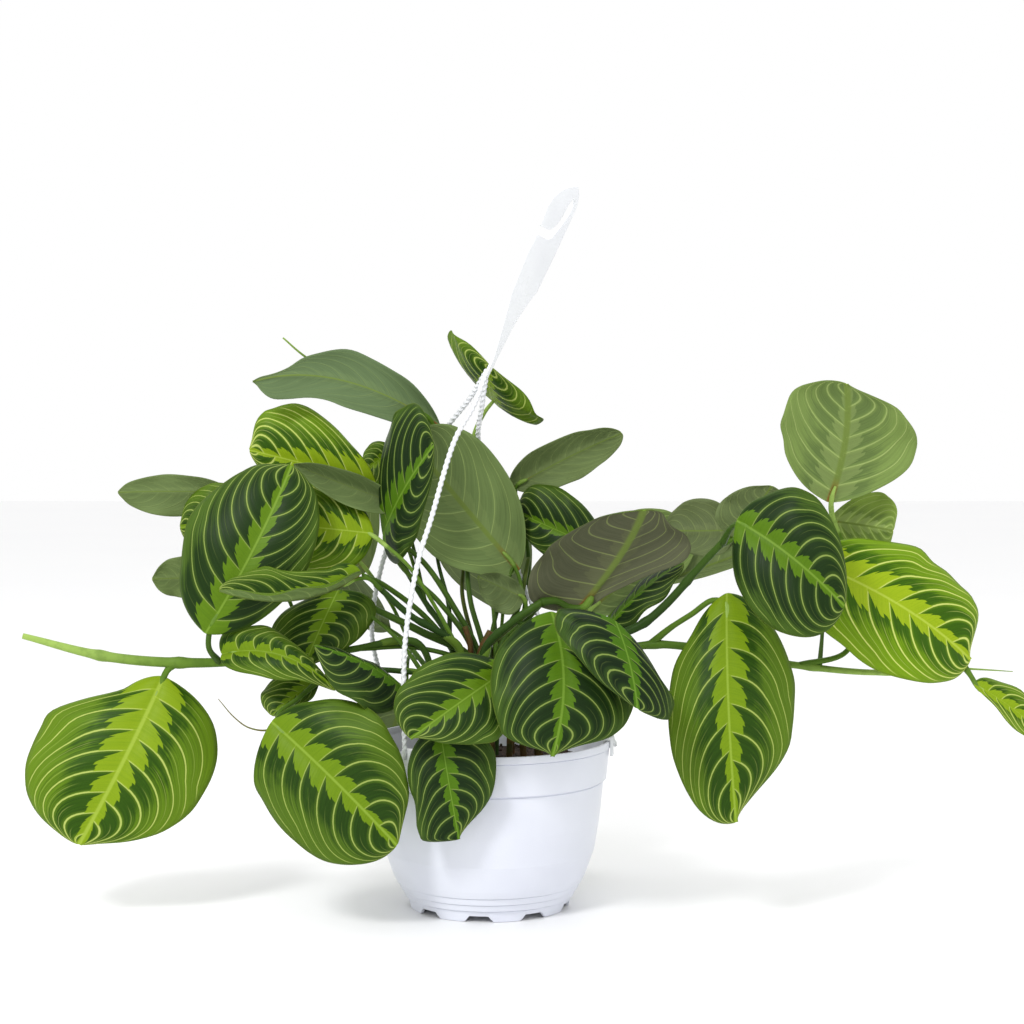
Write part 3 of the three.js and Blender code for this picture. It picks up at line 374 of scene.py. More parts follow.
                left_edge=[1, 1, 1, 1, 1, 0.98, 0.96, 0.85, 0.5, 0.15],
                right_edge=[0.93, 1, 1, 1, 1, 1, 1, 1, 0.75, 0.15]),
            leaf(0.05, (83, -114, 212), (96, -142, 159), (120, -118, 160), (44, -124, 211),
                [(22, -53, 168), (52, -78, 190), (76, -105, 206)]),
        ],
    ),
    "shoot_rear_left": dict(
        slot="foliage_dark", root=(-32, 26), radii=[2.2, 2.2, 2, 1.8],
        stem=[(-34, 30, 140), (-45, 45, 160), (-58, 60, 175)],
        leaves=[
            leaf(0.3, (-62, 92, 142), (-88, 118, 52), (-118, 97, 95), (-44, 108, 90),
                [(-52, 53, 168), (-60, 74, 166), (-62, 86, 153)], blush=0.3),
            leaf(0.5, (-90, 70, 230), (-150, 110, 296), (-95, 110, 298), (-150, 85, 240),
                [(-56, 58, 172), (-72, 66, 205), (-84, 69, 222)], blush=0.2),
            leaf(0.25, (-74, 82, 186), (-150, 115, 215), (-112, 95, 235), (-112, 115, 190),
                [(-56, 58, 172), (-66, 74, 181)], blush=0.4),
        ],
        stalks=[
            (3.4, 0, [(-5, 7, 98), (-7, 10, 145), (-8, 10, 176), (-24, 12, 207), (-48, 15, 242),
                (-71, 12, 259)]),
            (3, 0, [(-7, 0, 98), (-11, 0, 147), (-12, 0, 180), (-35, 4, 213), (-62, 10, 238),
                (-74, 12, 259)]),
        ],
    ),
    "shoot_rear": dict(
        slot="foliage_dark", root=(0, 44), radii=[2.2, 2.2, 1.8],
        stem=[(0, 48, 140), (4, 68, 165)],
        leaves=[
            leaf(0.4, (5, 98, 150), (0, 127, 40), (-38, 124, 96), (50, 116, 98),
                [(3, 64, 161), (5, 84, 166), (5, 93, 158)], blush=0.2),
            leaf(0.3, (10, 74, 200), (-5, 140, 296), (30, 110, 250), (-45, 110, 255),
                [(3, 64, 161), (8, 70, 186)], blush=0.4),
        ],
        stalks=[
            (3, 0, [(-2, 10, 98), (-4, 15, 146), (-4, 15, 177), (-14, 26, 214), (-16, 44, 252),
                (-9, 51, 285)]),
            (2.6, 0, [(0, 14, 98), (0, 20, 146), (0, 20, 178), (6, 26, 207), (17, 35, 236)]),
            (2.4, 0.3, [(-7, 21, 98), (-10, 30, 146), (-11, 30, 177), (-20, 38, 219), (-15, 48, 255),
                (-10, 52, 295)]),
        ],
    ),
    "shoot_rear_side": dict(
        slot="foliage_dark", root=(36, 24), radii=[2.2, 2.2, 1.8],
        stem=[(38, 30, 140), (50, 45, 165)],
        leaves=[
            leaf(0.3, (58, 86, 146), (68, 118, 50), (26, 112, 92), (78, 100, 104),
                [(48, 43, 163), (56, 66, 164), (58, 79, 155)], blush=0.3),
            leaf(0.5, (70, 60, 200), (150, 100, 260), (130, 80, 215), (90, 95, 265),
                [(48, 43, 163), (62, 54, 190)], blush=0.1),
            leaf(0.35, (112, 72, 217), (215, 110, 250), (185, 90, 232), (165, 100, 272),
                [(48, 43, 163), (80, 60, 190), (103, 69, 211)], blush=0.3),
        ],
    ),
}

CAMERA_PLACE = (16, -1498, 355.5)
CAMERA_PITCH = 3
CAMERA_LENS = 75.3
FLOOR_REACH = 6000
FLOOR_HEIGHT = -0.2
WORLD_STRENGTH = 1
# Each lamp's name, place, target and size, in metres, and its power in watts.
LAMPS = [
    ("key", (-0.9, -1.6, 1.7), (0, 0, 0.2), 0.5, 26),
    ("fill", (1.4, -1.2, 0.9), (0, 0, 0.2), 1.4, 2),
    ("top", (0.2, 0.6, 2.0), (0, 0, 0.2), 1.2, 6),
]

# ---------- curves ----------


def on_curve(start, pull, end, t):
    """The place at t, from 0 to 1, on a curve that leans towards pull."""
    return (1 - t) ** 2 * start + 2 * t * (1 - t) * pull + t**2 * end


def unit(vectors):
    return vectors / np.linalg.norm(vectors, axis=-1, keepdims=True)


def smooth_path(points, step):
    """Points every step millimetres or so along a centripetal Catmull-Rom curve through the given ones."""
    p = np.array(points, float)
    p = np.vstack([2 * p[0] - p[1], p, 2 * p[-1] - p[-2]])
    dense = []
    for k in range(1, len(p) - 2):
        a, b, c, d = p[k - 1 : k + 3]
        d0, d1, d2 = (max(np.linalg.norm(y - x) ** 0.5, 1e-4) for x, y in ((a, b), (b, c), (c, d)))
        t1 = ((b - a) / d0 - (c - a) / (d0 + d1) + (c - b) / d1) * d1
        t2 = ((c - b) / d1 - (d - b) / (d1 + d2) + (d - c) / d2) * d1
        for t in np.linspace(0, 1, 24, endpoint=False):
            h = (2 * t**3 - 3 * t**2 + 1, t**3 - 2 * t**2 + t, -2 * t**3 + 3 * t**2, t**3 - t**2)
            dense.append(h[0] * b + h[1] * t1 + h[2] * c + h[3] * t2)
    dense.append(p[-2])
    dense = np.array(dense)
    length = np.concatenate([[0], np.cumsum(np.linalg.norm(np.diff(dense, axis=0), axis=1))])
    count = max(int(round(length[-1] / step)), 3)
    at = np.linspace(0, length[-1], count + 1)
    return np.stack([np.interp(at, length, dense[:, i]) for i in range(3)], 1), at


def frames_along(path):
    """Two directions across the path at each point, carried along it without a twist."""
    tangents = unit(np.gradient(path, axis=0))
    first = np.cross(tangents[0], [0, 0, 1] if abs(tangents[0][2]) < 0.9 else [1, 0, 0])
    sides = []
    for tangent in tangents:
        first = unit(first - tangent * first.dot(tangent))
        sides.append((first, np.cross(tangent, first)))
    return sides


# ---------- meshes ----------


def link(name, data):
    """A new object in the scene."""
    made = bpy.data.objects.new(name, data)
    bpy.context.scene.collection.objects.link(made)
    return made


class Shape:
    """Gathers quads and triangles with values at their corners, and makes one object of them."""

    def __init__(self):
        self.points = []
        self.faces = []
        self.materials = []
        self.values = {}
        self.count = 0

    def add(self, points, faces, material=0, **values):
        """values are arrays of one vector for each corner of each face, in the faces' order."""
        self.points.append(np.asarray(points, float))
        self.faces.extend([[self.count + int(i) for i in face] for face in faces])
        self.materials.extend([material] * len(faces) if np.isscalar(material) else list(material))
        self.count += len(points)
        for name, rows in values.items():
            self.values.setdefault(name, []).append(np.asarray(rows, float).reshape(-1, 3))

    def build(self, name, materials):
        mesh = bpy.data.meshes.new(name)
        mesh.from_pydata((np.vstack(self.points) * MM).tolist(), [], self.faces)
        mesh.polygons.foreach_set("material_index", np.array(self.materials, np.int32))
        mesh.polygons.foreach_set("use_smooth", np.full(len(self.faces), True))
        for key, rows in self.values.items():
            attribute = mesh.attributes.new(key, "FLOAT_VECTOR", "CORNER")
            attribute.data.foreach_set("vector", np.vstack(rows).astype(np.float32).ravel())
        for material in materials:
            mesh.materials.append(material)
        mesh.update()
        return link(name, mesh)


def turns(sides):
    """The angles of a ring's corners."""
    return [2 * math.pi * j / sides for j in range(sides)]


def around(radius, angle, height):
    """A place by its distance and direction from the pot's axis, and its height."""
    return radius * math.cos(angle), radius * math.sin(angle), height


def ring_faces(rings, sides):
    """The quads that join each ring of points to the next one."""
    faces = []
    for k in range(rings - 1):
        for j in range(sides):
            n = (j + 1) % sides
            faces.append((k * sides + j, k * sides + n, (k + 1) * sides + n, (k + 1) * sides + j))
    return faces


def tube(shape, points, radius_at, sides, step, look_at, flat=1.0, spin=0.0):
    """A closed tube. radius_at takes the share of its length. look_at takes that and the place there, and
    gives the tone and the dryness."""
    path, at = smooth_path(points, step)
    shares = at / at[-1]
    verts, looks = [], []
    for place, travelled, share, (a, b) in zip(path, at, shares, frames_along(path)):
        turn = spin * travelled
        for angle in turns(sides):
            x, y = math.cos(angle), flat * math.sin(angle)
            u = x * math.cos(turn) - y * math.sin(turn)
            v = x * math.sin(turn) + y * math.cos(turn)
            verts.append(place + radius_at(share) * (a * u + b * v))
            looks.append(look_at(share, place))
    rings = len(path)
    faces = ring_faces(rings, sides)
    verts += [path[0], path[-1]]
    looks += [look_at(0, path[0]), look_at(1, path[-1])]
    last = (rings - 1) * sides
    for j in range(sides):
        n = (j + 1) % sides
        faces.append((rings * sides, n, j))
        faces.append((rings * sides + 1, last + j, last + n))
    shape.add(verts, faces, look=[(*looks[i], 0) for face in faces for i in face])


# ---------- leaves ----------


def at_tenths(values, u):
    """Smooth values at u from those given at the first tenth of the way, the second and so on to the end."""
    padded = np.array([values[0], *values, values[-1], values[-1]], float)
    place = np.clip(10 * np.asarray(u, float) - 1, 0, len(values) - 1)
    k = np.minimum(place.astype(int), len(values) - 2)
    a, b, c, d = (padded[k + i] for i in range(4))
    t = place - k
    return b + 0.5 * t * (c - a + t * (2 * a - 5 * b + 4 * c - d + t * (3 * (b - c) + d - a)))


def half_width(u, tip_roundness, edge):
    before = u < WIDEST
    t = np.clip(np.where(before, 1 - u / WIDEST, (u - WIDEST) / (1 - WIDEST)), 0, 1)
    power = np.where(before, BASE_ROUNDNESS, tip_roundness)
    return np.maximum((1 - t**power) ** (1 / power) * at_tenths(edge, u), END_SHARE)


class Leaf:
    """A leaf's midrib and surface, as the solids have them. v runs from -1 at its left edge to 1."""

    def __init__(self, tone, base, tip, left, right, petiole, blush=0.0, radius=PETIOLE_RADIUS, bow=0.0,
                 mid=None, tip_roundness=TIP_ROUNDNESS, left_edge=PLAIN_EDGE, right_edge=PLAIN_EDGE):
        self.base, self.tip, left, right = np.array([base, tip, left, right], float)
        chord = self.tip - self.base
        across = right - left
        middle = (self.base + self.tip) / 2
        self.length = np.linalg.norm(chord)
        self.normal = unit(np.cross(across, chord))
        arched = middle + self.normal * ARCH_SHARE * self.length
        bent = (np.array(mid, float) if mid else arched) + unit(across) * bow
        self.control = 2 * bent - middle
        widest = self.midrib(WIDEST)
        self.halves = {-1: left - widest, 1: right - widest}
        self.spans = {side: np.linalg.norm(half) for side, half in self.halves.items()}
        self.width = sum(self.spans.values()) / 2
        self.tip_roundness, self.edges = tip_roundness, (left_edge, right_edge)
        self.petiole, self.radius, self.tone, self.blush = petiole, radius, tone, blush

    def midrib(self, u):
        return on_curve(self.base, self.control, self.tip, np.asarray(u, float)[..., None])

    def half_width(self, u, v):
        left, right = (half_width(u, self.tip_roundness, edge) for edge in self.edges)
        return np.where(v < 0, left, right)

    def surface(self, u, v):
        reach = np.abs(v)
        width = self.half_width(u, v)
        half = np.where((v >= 0)[..., None], self.halves[1], self.halves[-1])
        span = np.where(v >= 0, self.spans[1], self.spans[-1])
        puff = PUFF_SHARE * span * 4 * reach * (1 - reach) * width
        phase = self.base[0] + np.where(v < 0, 0, 2)
        wave = EDGE_WAVE * v * v * width * np.sin(2 * math.pi * EDGE_WAVES * u + phase)
        place = self.midrib(u) + half * (reach * width)[..., None]
        return place + self.normal * (puff + wave)[..., None]

    def veins(self, u, r, side):
        """The place along the row of side veins, in veins, and how many of them pass in a millimetre."""
        share = VEIN_SWEEP * np.minimum(1, u / VEIN_SWEEP)
        place = u - share * (VEIN_SLANT * r + (1 - VEIN_SLANT) * r**VEIN_BEND)
        count = VEINS_SMALL + (VEINS_LARGE - VEINS_SMALL) * min(self.length / 120, 1)
        slope = share * (VEIN_SLANT + (1 - VEIN_SLANT) * VEIN_BEND * r ** (VEIN_BEND - 1))
        across = slope / (self.width * np.maximum(self.half_width(u, r * side), 0.15))
        return place * count + (0.35 if side > 0 else 0.0), count * np.hypot(1 / self.length, across)


def quads(*corners):
    """Faces from four arrays: their first corners, their second ones and so on."""
    return np.stack(corners, -1).reshape(-1, 4)


def add_blade(shape, leaf, seed):
    """The blade as a thin closed sheet, with what its material reads at each corner."""
    rows, half = LARGE_GRID if leaf.length > LARGE_LEAF else SMALL_GRID
    columns = 2 * half
    shares = 0.5 - 0.5 * np.cos(np.pi * np.linspace(0, 1, rows + 1))
    reach = np.linspace(0, 1, half + 1) ** 0.9
    u, v = np.meshgrid(shares, np.concatenate([-reach[::-1], reach[1:]]), indexing="ij")
    nudge = 0.01
    along = leaf.surface(np.minimum(u + nudge, 1), v) - leaf.surface(np.maximum(u - nudge, 0), v)
    across = leaf.surface(u, np.minimum(v + nudge, 1)) - leaf.surface(u, np.maximum(v - nudge, -1))
    outward = unit(np.cross(across, along))
    r = np.abs(v)
    distance = r * leaf.half_width(u, v)
    fields = {side: leaf.veins(u, r, side) for side in (-1, 1)}
    row = np.where(v < 0, fields[-1][0], fields[1][0])
    calm = np.clip(1.1 - r, 0, 1) * np.clip(distance / 0.12, 0, 1) * np.clip(leaf.length / 110, 0.4, 1)
    quilt = QUILT * calm * np.sin(np.pi * (row % 1)) ** 2
    rib = np.exp(-((distance * leaf.width / 1.6) ** 2)) * (1 - 0.8 * u) * np.clip(u * 30, 0, 1)
    edge = np.clip((1 - r) * 12, 0.25, 1) * BLADE_THICKNESS / 2
    upper = leaf.surface(u, v) + outward * (edge + quilt - GROOVE * rib)[..., None]
    lower = leaf.surface(u, v) - outward * (edge - quilt + RIDGE * rib)[..., None]

    top = np.arange((rows + 1) * (columns + 1)).reshape(rows + 1, columns + 1)
    low = top + top.size
    rim = np.concatenate([top[:-1, 0], top[-1, :-1], top[:0:-1, -1], top[0, :0:-1]])
    after = np.roll(rim, -1)
    faces = np.concatenate([
        quads(top[:-1, :-1], top[:-1, 1:], top[1:, 1:], top[1:, :-1]),
        quads(low[:-1, :-1], low[1:, :-1], low[1:, 1:], low[:-1, 1:]),
        quads(rim, after, after + top.size, rim + top.size),
    ])
    materials = np.zeros(len(faces), int)
    materials[rows * columns : 2 * rows * columns] = 1

    # A corner on the midrib belongs to the half that its face lies in.
    corner = faces % top.size
    on_right = (corner % (columns + 1)).mean(axis=1, keepdims=True) > half
    sides = [[field.ravel()[corner] for field in fields[side]] for side in (-1, 1)]
    row, density = (np.where(on_right, right, left) for left, right in zip(*sides))
    ones = np.ones(corner.shape)
    shape.add(
        np.concatenate([upper.reshape(-1, 3), lower.reshape(-1, 3)]), faces, materials,
        leaf_place=np.stack([row, distance.ravel()[corner], r.ravel()[corner]], -1),
        leaf_more=np.stack([u.ravel()[corner], density, leaf.tone * ones], -1),
        leaf_kind=np.stack([seed * ones, leaf.blush * ones, leaf.width / 45 * ones], -1),
    )


# ---------- stems ----------


def add_stem(shape, route, radii, tone, draw):
    """A leafy stem's own stem, swollen where it bears a leaf, with sheaths round it."""
    spots = np.linspace(0, 1, len(radii))

    def radius_at(t):
        swell = sum(NODE_SWELL * math.exp(-(((t - spot) / NODE_REACH) ** 2)) for spot in spots[2:-1])
        return float(np.interp(t, spots, radii)) * (1 + swell)

    def look_at(t, place):
        draw.random()  # not read, but it settles which draws the sheaths and the leaves get
        brown = min(max((BROWN_TOP - place[2]) / BROWN_FADE, 0), 1) * 0.8
        return tone * (0.2 + 0.8 * t**2), brown

    tube(shape, route, radius_at, STEM_SIDES, STEM_STEP, look_at)
    path, at = smooth_path(route, STEM_STEP)
    for share in SHEATH_SHARES:
        first = int(share * (len(path) - 1))
        last = min(first + SHEATH_STEPS, len(path) - 1)
        lean = np.array([draw.uniform(-1, 1), draw.uniform(-1, 1), 0]) * 1.2
        points = [path[first], path[(first + last) // 2], path[last] + lean]
        brown = share == SHEATH_SHARES[0] and np.hypot(*path[first][:2]) < DRY_REACH
        add_sheath(shape, radius_at(at[first] / at[-1]), 0.9 if brown else 0.1, points)


def add_sheath(shape, radius, dry, points):
    tube(shape, points, lambda t: radius * (0.94 + 0.4 * t**0.6) * (1.02 - t**4), STEM_SIDES, 2,
         lambda t, place: (0.35 + 0.3 * t, dry))


def add_petiole(shape, leaf):
    """The leaf's stalk, with a sheath at its foot and a paler knuckle before the blade."""

    def radius_at(t):
        sheath = 0.35 * max(0, 1 - t / 0.3)
        knuckle = 0.22 * math.exp(-(((t - 0.84) / 0.1) ** 2))
        return leaf.radius * (0.9 + sheath + knuckle) * (1 if t < 0.95 else 1 - 9 * (t - 0.95))

    def look_at(t, place):
        return (0.25 + 0.6 * leaf.tone) * (0.7 + 0.3 * t) + (0.25 if t > 0.76 else 0), 0

    ends = [leaf.midrib(u) - leaf.normal * PETIOLE_DEPTH * leaf.radius for u in PETIOLE_SHARES]
    tube(shape, [*leaf.petiole, *ends], radius_at, PETIOLE_SIDES, PETIOLE_STEP, look_at)


def add_stalk(shape, radius, dry, points):
    tube(shape, points, lambda t: radius * (1.35 - 0.5 * t), PETIOLE_SIDES, PETIOLE_STEP,
         lambda t, place: (0.16 + 0.2 * t, dry), flat=STALK_FLATNESS)


def add_thread(shape, radius, dry, points):
    """A withered thread, or a leaf that is still rolled up."""
    tube(shape, points, lambda t: radius * (1.3 - 0.9 * t), THREAD_SIDES, 2, lambda t, place: (0.7, dry))


def make_leafy_stem(name, slot, root, radii, stem, leaves, tone=0.35, stalks=(), threads=()):
    """Two pieces for one leafy stem: its blades, and its stems with their sheaths and petioles."""
    draw = random.Random(name)
    blades, stems = Shape(), Shape()
    add_stem(stems, [(*root, HOLE_FLOOR), (*root, SOIL_TOP + 3), *stem], radii, tone, draw)
    for row in leaves:
        grown = Leaf(**row)
        add_blade(blades, grown, draw.random())
        add_petiole(stems, grown)
    for thread in threads:
        add_thread(stems, *thread)
    for stalk in stalks:
        add_stalk(stems, *stalk)
    leafy = blades.build(f"{name}_leaves", [LEAF_UPPER, LEAF_LOWER])
    stalky = stems.build(f"{name}_stems", [STEM])
    for piece in (leafy, stalky):
        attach(piece, "root")
        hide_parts(name)


# ---------- pot and soil ----------


def rounded(profile, radius, steps):
    """The profile with each inner corner turned into a small curve."""
    out = [profile[0]]
    for before, corner, after in zip(profile, profile[1:], profile[2:]):
        b, c, a = (Vector(p) for p in (before, corner, after))
        cut = min(radius, (b - c).length * 0.45, (a - c).length * 0.45)
        p, q = c + (b - c).normalized() * cut, c + (a - c).normalized() * cut
        out += [tuple(on_curve(p, c, q, k / steps)) for k in range(steps + 1)]
    return [*out, profile[-1]]


def undercut(outside):
    """The outside with a fine groove under each of its ledges."""
    out = [outside[0]]
    for (r0, z0), (r1, z1) in zip(outside, outside[1:]):
        if r1 - r0 > LEDGE and z1 - z0 < LEDGE_HEIGHT:
            out += [(r0 - LEDGE_GROOVE, z0 + 0.1), (r0 - LEDGE_GROOVE, z1 - 0.1)]
        out.append((r1, z1))
    return out


def skirt_height(radius, height, angle):
    """A point's height, raised where it lies in one of the notches round the skirt's edge."""
    if radius <= PAD_RADIUS + 10 or height >= NOTCH_HEIGHT:
        return height
    pitch = 2 * math.pi / SKIRT_NOTCHES
    off = (angle - NOTCH_TURN - math.pi / 2 + pitch / 2) % pitch - pitch / 2
    slope = (NOTCH_FOOT - NOTCH_CROWN) / 2
    return max(height, NOTCH_HEIGHT * min(max((NOTCH_FOOT / 2 - abs(off) * SKIRT_FOOT) / slope, 0), 1))


def make_pot():
    inner = SKIRT_FOOT - SKIRT_WALL
    underside = [(0, 0), (PAD_RADIUS, 0), (PAD_RADIUS + 1, FLOOR_UNDERSIDE), (inner, FLOOR_UNDERSIDE)]
    skirt = [(inner, 2), (inner, 0), (SKIRT_FOOT, 0), (SKIRT_FOOT + 0.5, 2)]
    profile = rounded([*underside, *skirt, *undercut(POT_OUTSIDE), *POT_INSIDE], POT_ROUNDING, 3)
    verts = []
    for radius, height in profile:
        verts += [around(radius, angle, skirt_height(radius, height, angle)) for angle in turns(POT_SIDES)]
    shape = Shape()
    shape.add(verts, ring_faces(len(profile), POT_SIDES))
    pot = shape.build("pot_shell", [POT])
    work = bmesh.new()
    work.from_mesh(pot.data)
    bmesh.ops.remove_doubles(work, verts=work.verts, dist=WELD_REACH * MM)
    bmesh.ops.recalc_face_normals(work, faces=work.faces)
    work.to_mesh(pot.data)
    work.free()
    pot.data.set_sharp_from_angle(angle=math.radians(POT_SHARP_ANGLE))
    return pot


def add_crumb(shape, draw):
    radius = SOIL_RADIUS * math.sqrt(draw.random()) * 0.96
    centre = Vector(around(radius, draw.uniform(0, 2 * math.pi), SOIL_TOP - 1.5))
    size = draw.uniform(0.7, 2.3)
    turn = Euler([draw.uniform(0, 6.28) for _ in range(3)]).to_matrix()
    stretch = Matrix.Diagonal((draw.uniform(0.7, 1.5), draw.uniform(0.6, 1.1), draw.uniform(0.5, 0.9)))
    crumb = bmesh.new()
    bmesh.ops.create_icosphere(crumb, subdivisions=1, radius=1)
    points = [centre + turn @ stretch @ v.co * size * draw.uniform(0.85, 1.15) for v in crumb.verts]
    shape.add(points, [[v.index for v in face.verts] for face in crumb.faces])
    crumb.free()


def make_soil():
    """The fill's wall and floor, and a lumpy top with loose crumbs."""
    verts = []
    for radius, height in SOIL_WALL:
        verts += [around(radius, angle, height) for angle in turns(SOIL_SIDES)]
    for k in range(SOIL_RINGS):
        share = 1 - (k + 1) / SOIL_RINGS
        for angle in turns(SOIL_SIDES):
            x, y, z = around(SOIL_RADIUS * share, angle, SOIL_TOP - SOIL_MOUND * share**2)
            lump = 1.6 * noise.noise((x / 7, y / 7, 0)) + 0.9 * noise.noise((x / 2.6, y / 2.6, 3))
            verts.append((x, y, z + lump * min(1, (1 - share) * 12)))
    shape = Shape()
    shape.add(verts, ring_faces(len(SOIL_WALL) + SOIL_RINGS, SOIL_SIDES))
    draw = random.Random(7)
    for _ in range(SOIL_CRUMBS):
        add_crumb(shape, draw)
    return shape.build("soil_fill", [SOIL])


# ---------- hanger ----------


def strap_outline():
    """The strap's outline in its own plane, with the slot that makes its top a hook."""
    out = [STRAP_START]
    for part in STRAP_PARTS:
        start, pull, end = Vector(out[-1]), Vector(part[0]), Vector(part[-1])
        steps = CURVE_STEPS if len(part) == 2 else 1
        out += [tuple(on_curve(start, pull, end, k / steps)) for k in range(1, steps + 1)]
    return rounded(out, 1.0, 3)


def plate(name, outline, thickness, matrix, bevel):
    """A flat plate with rounded edges from a closed outline, moved into place."""
    work = bmesh.new()
    face = work.faces.new([work.verts.new((x * MM, y * MM, -thickness / 2 * MM)) for x, y in outline])
    grown = bmesh.ops.extrude_face_region(work, geom=[face])["geom"]
    raised = [v for v in grown if isinstance(v, bmesh.types.BMVert)]
    bmesh.ops.translate(work, vec=(0, 0, thickness * MM), verts=raised)
    bmesh.ops.recalc_face_normals(work, faces=work.faces)
    rims = [e for e in work.edges if abs(e.verts[0].co.z - e.verts[1].co.z) < 1e-9]
    bmesh.ops.bevel(
        work, geom=rims, offset=bevel * MM, segments=3, affect="EDGES", profile=0.6, clamp_overlap=True
    )
    bmesh.ops.triangulate(work, faces=[f for f in work.faces if len(f.verts) > 4])
    work.transform(matrix)
    mesh = bpy.data.meshes.new(name)
    work.to_mesh(mesh)
    work.free()
    mesh.materials.append(HANGER)
    mesh.polygons.foreach_set("use_smooth", np.full(len(mesh.polygons), True))
    mesh.set_sharp_from_angle(angle=math.radians(PLATE_SHARP_ANGLE))
    return link(name, mesh)


def make_hook():
    lean, turn = math.radians(STRAP_LEAN), math.radians(STRAP_TURN)
    along = Vector((math.sin(lean), 0, math.cos(lean)))
    across = Vector((math.cos(lean) * math.cos(turn), math.sin(turn), -math.sin(lean) * math.cos(turn)))
    basis = Matrix((across, along, across.cross(along))).transposed().to_4x4()
    place = Matrix.Translation(Vector(STRAP_FOOT) * MM) @ basis
    return plate("hook_strap", strap_outline(), STRAP_THICKNESS, place, STRAP_BEVEL)


def make_arms():
    """The three twisted arms, and the clips at their feet."""
    arms = Shape()
    for route in ARM_ROUTES:
        tube(arms, route, lambda t: ARM_WIDTH / 2 * (1 - 0.25 * t**30), ARM_SIDES, ARM_STEP,
             lambda t, place: (0, 0), flat=ARM_THICKNESS / ARM_WIDTH, spin=2 * math.pi / ARM_PITCH)
    pieces = [arms.build("twisted_arms", [HANGER])]
    for number, degrees in enumerate(ARM_ANGLES, 1):
        upright = Matrix.Rotation(math.radians(degrees), 4, "Z") @ Matrix.Rotation(math.pi / 2, 4, "X")
        outline = rounded(CLIP_OUTLINE, 0.5, 2)
        pieces.append(plate(f"rim_clip_{number}", outline, CLIP_WIDTH, upright, CLIP_BEVEL))
    return pieces


# ---------- materials ----------


def linear(red, green, blue):
    """An 8-bit sRGB colour as the shader's linear one."""
    shares = [channel / 255 for channel in (red, green, blue)]
    return (*(c / 12.92 if c <= 0.04 else ((c + 0.055) / 1.055) ** 2.4 for c in shares), 1)


class Graph:
    """Short names for the shader nodes of a material. A value may be another node's output."""

    def __init__(self, name, roughness=0.5, specular=0.5):
        self.material = bpy.data.materials.new(name)
        self.material.use_nodes = True
        self.tree = self.material.node_tree
        self.shader = self.tree.nodes["Principled BSDF"]
        self.shader.inputs["Roughness"].default_value = roughness
        self.shader.inputs["Specular IOR Level"].default_value = specular

    def put(self, socket, value):
        """Links or sets a socket. Three numbers are an sRGB colour."""
        if isinstance(value, bpy.types.NodeSocket):
            self.tree.links.new(value, socket)
        else:
            socket.default_value = linear(*value) if isinstance(value, tuple) else value

    def node(self, kind, *values, out=0, **settings):
        made = self.tree.nodes.new(kind)
        for key, value in settings.items():
            setattr(made, key, value)
        for socket, value in zip(made.inputs, values):
            self.put(socket, value)
        return made.outputs[out]

    def math(self, operation, a, b=0.0):
        return self.node("ShaderNodeMath", a, b, operation=operation)

    def add(self, total, *others):
        for value in others:
            total = self.math("ADD", total, value)
        return total

    def times(self, product, *others):
        for value in others:
            product = self.math("MULTIPLY", product, value)
        return product

    def step(self, value, low, high, start=0.0, end=1.0):
        """Goes smoothly from start to end as value goes from low to high."""
        return self.node("ShaderNodeMapRange", value, low, high, start, end, interpolation_type="SMOOTHSTEP")

    def fall(self, value, low, high):
        return self.step(value, low, high, 1.0, 0.0)

    def blend(self, share, a, b, kind="MIX"):
        made = self.tree.nodes.new("ShaderNodeMix")
        made.data_type = "RGBA"
        made.blend_type = kind
        for socket, value in ((made.inputs[0], share), (made.inputs[6], a), (made.inputs[7], b)):
            self.put(socket, value)
        return made.outputs[2]

    def parts(self, name):
        """The three numbers of a corner attribute."""
        read = self.tree.nodes.new("ShaderNodeAttribute")
        read.attribute_name = name
        split = self.tree.nodes.new("ShaderNodeSeparateXYZ")
        self.tree.links.new(read.outputs["Vector"], split.inputs[0])
        return split.outputs[0], split.outputs[1], split.outputs[2]

    def noise(self, vector, scale=1.0, detail=2.0, roughness=0.5):
        made = self.tree.nodes.new("ShaderNodeTexNoise")
        settings = {"Vector": vector, "Scale": scale, "Detail": detail, "Roughness": roughness}
        for key, value in settings.items():
            self.put(made.inputs[key], value)
        return made.outputs["Fac"]

    def place(self):
        return self.node("ShaderNodeTexCoord", out=3)

    def bump(self, height, distance):
        made = self.tree.nodes.new("ShaderNodeBump")
        made.inputs["Strength"].default_value = 1.0
        made.inputs["Distance"].default_value = distance
        self.put(made.inputs["Height"], height)
        self.put(self.shader.inputs["Normal"], made.outputs[0])

    def finish(self, colour, roughness=None):
        self.put(self.shader.inputs["Base Color"], colour)
        if roughness is not None:
            self.put(self.shader.inputs["Roughness"], roughness)
        return self.material


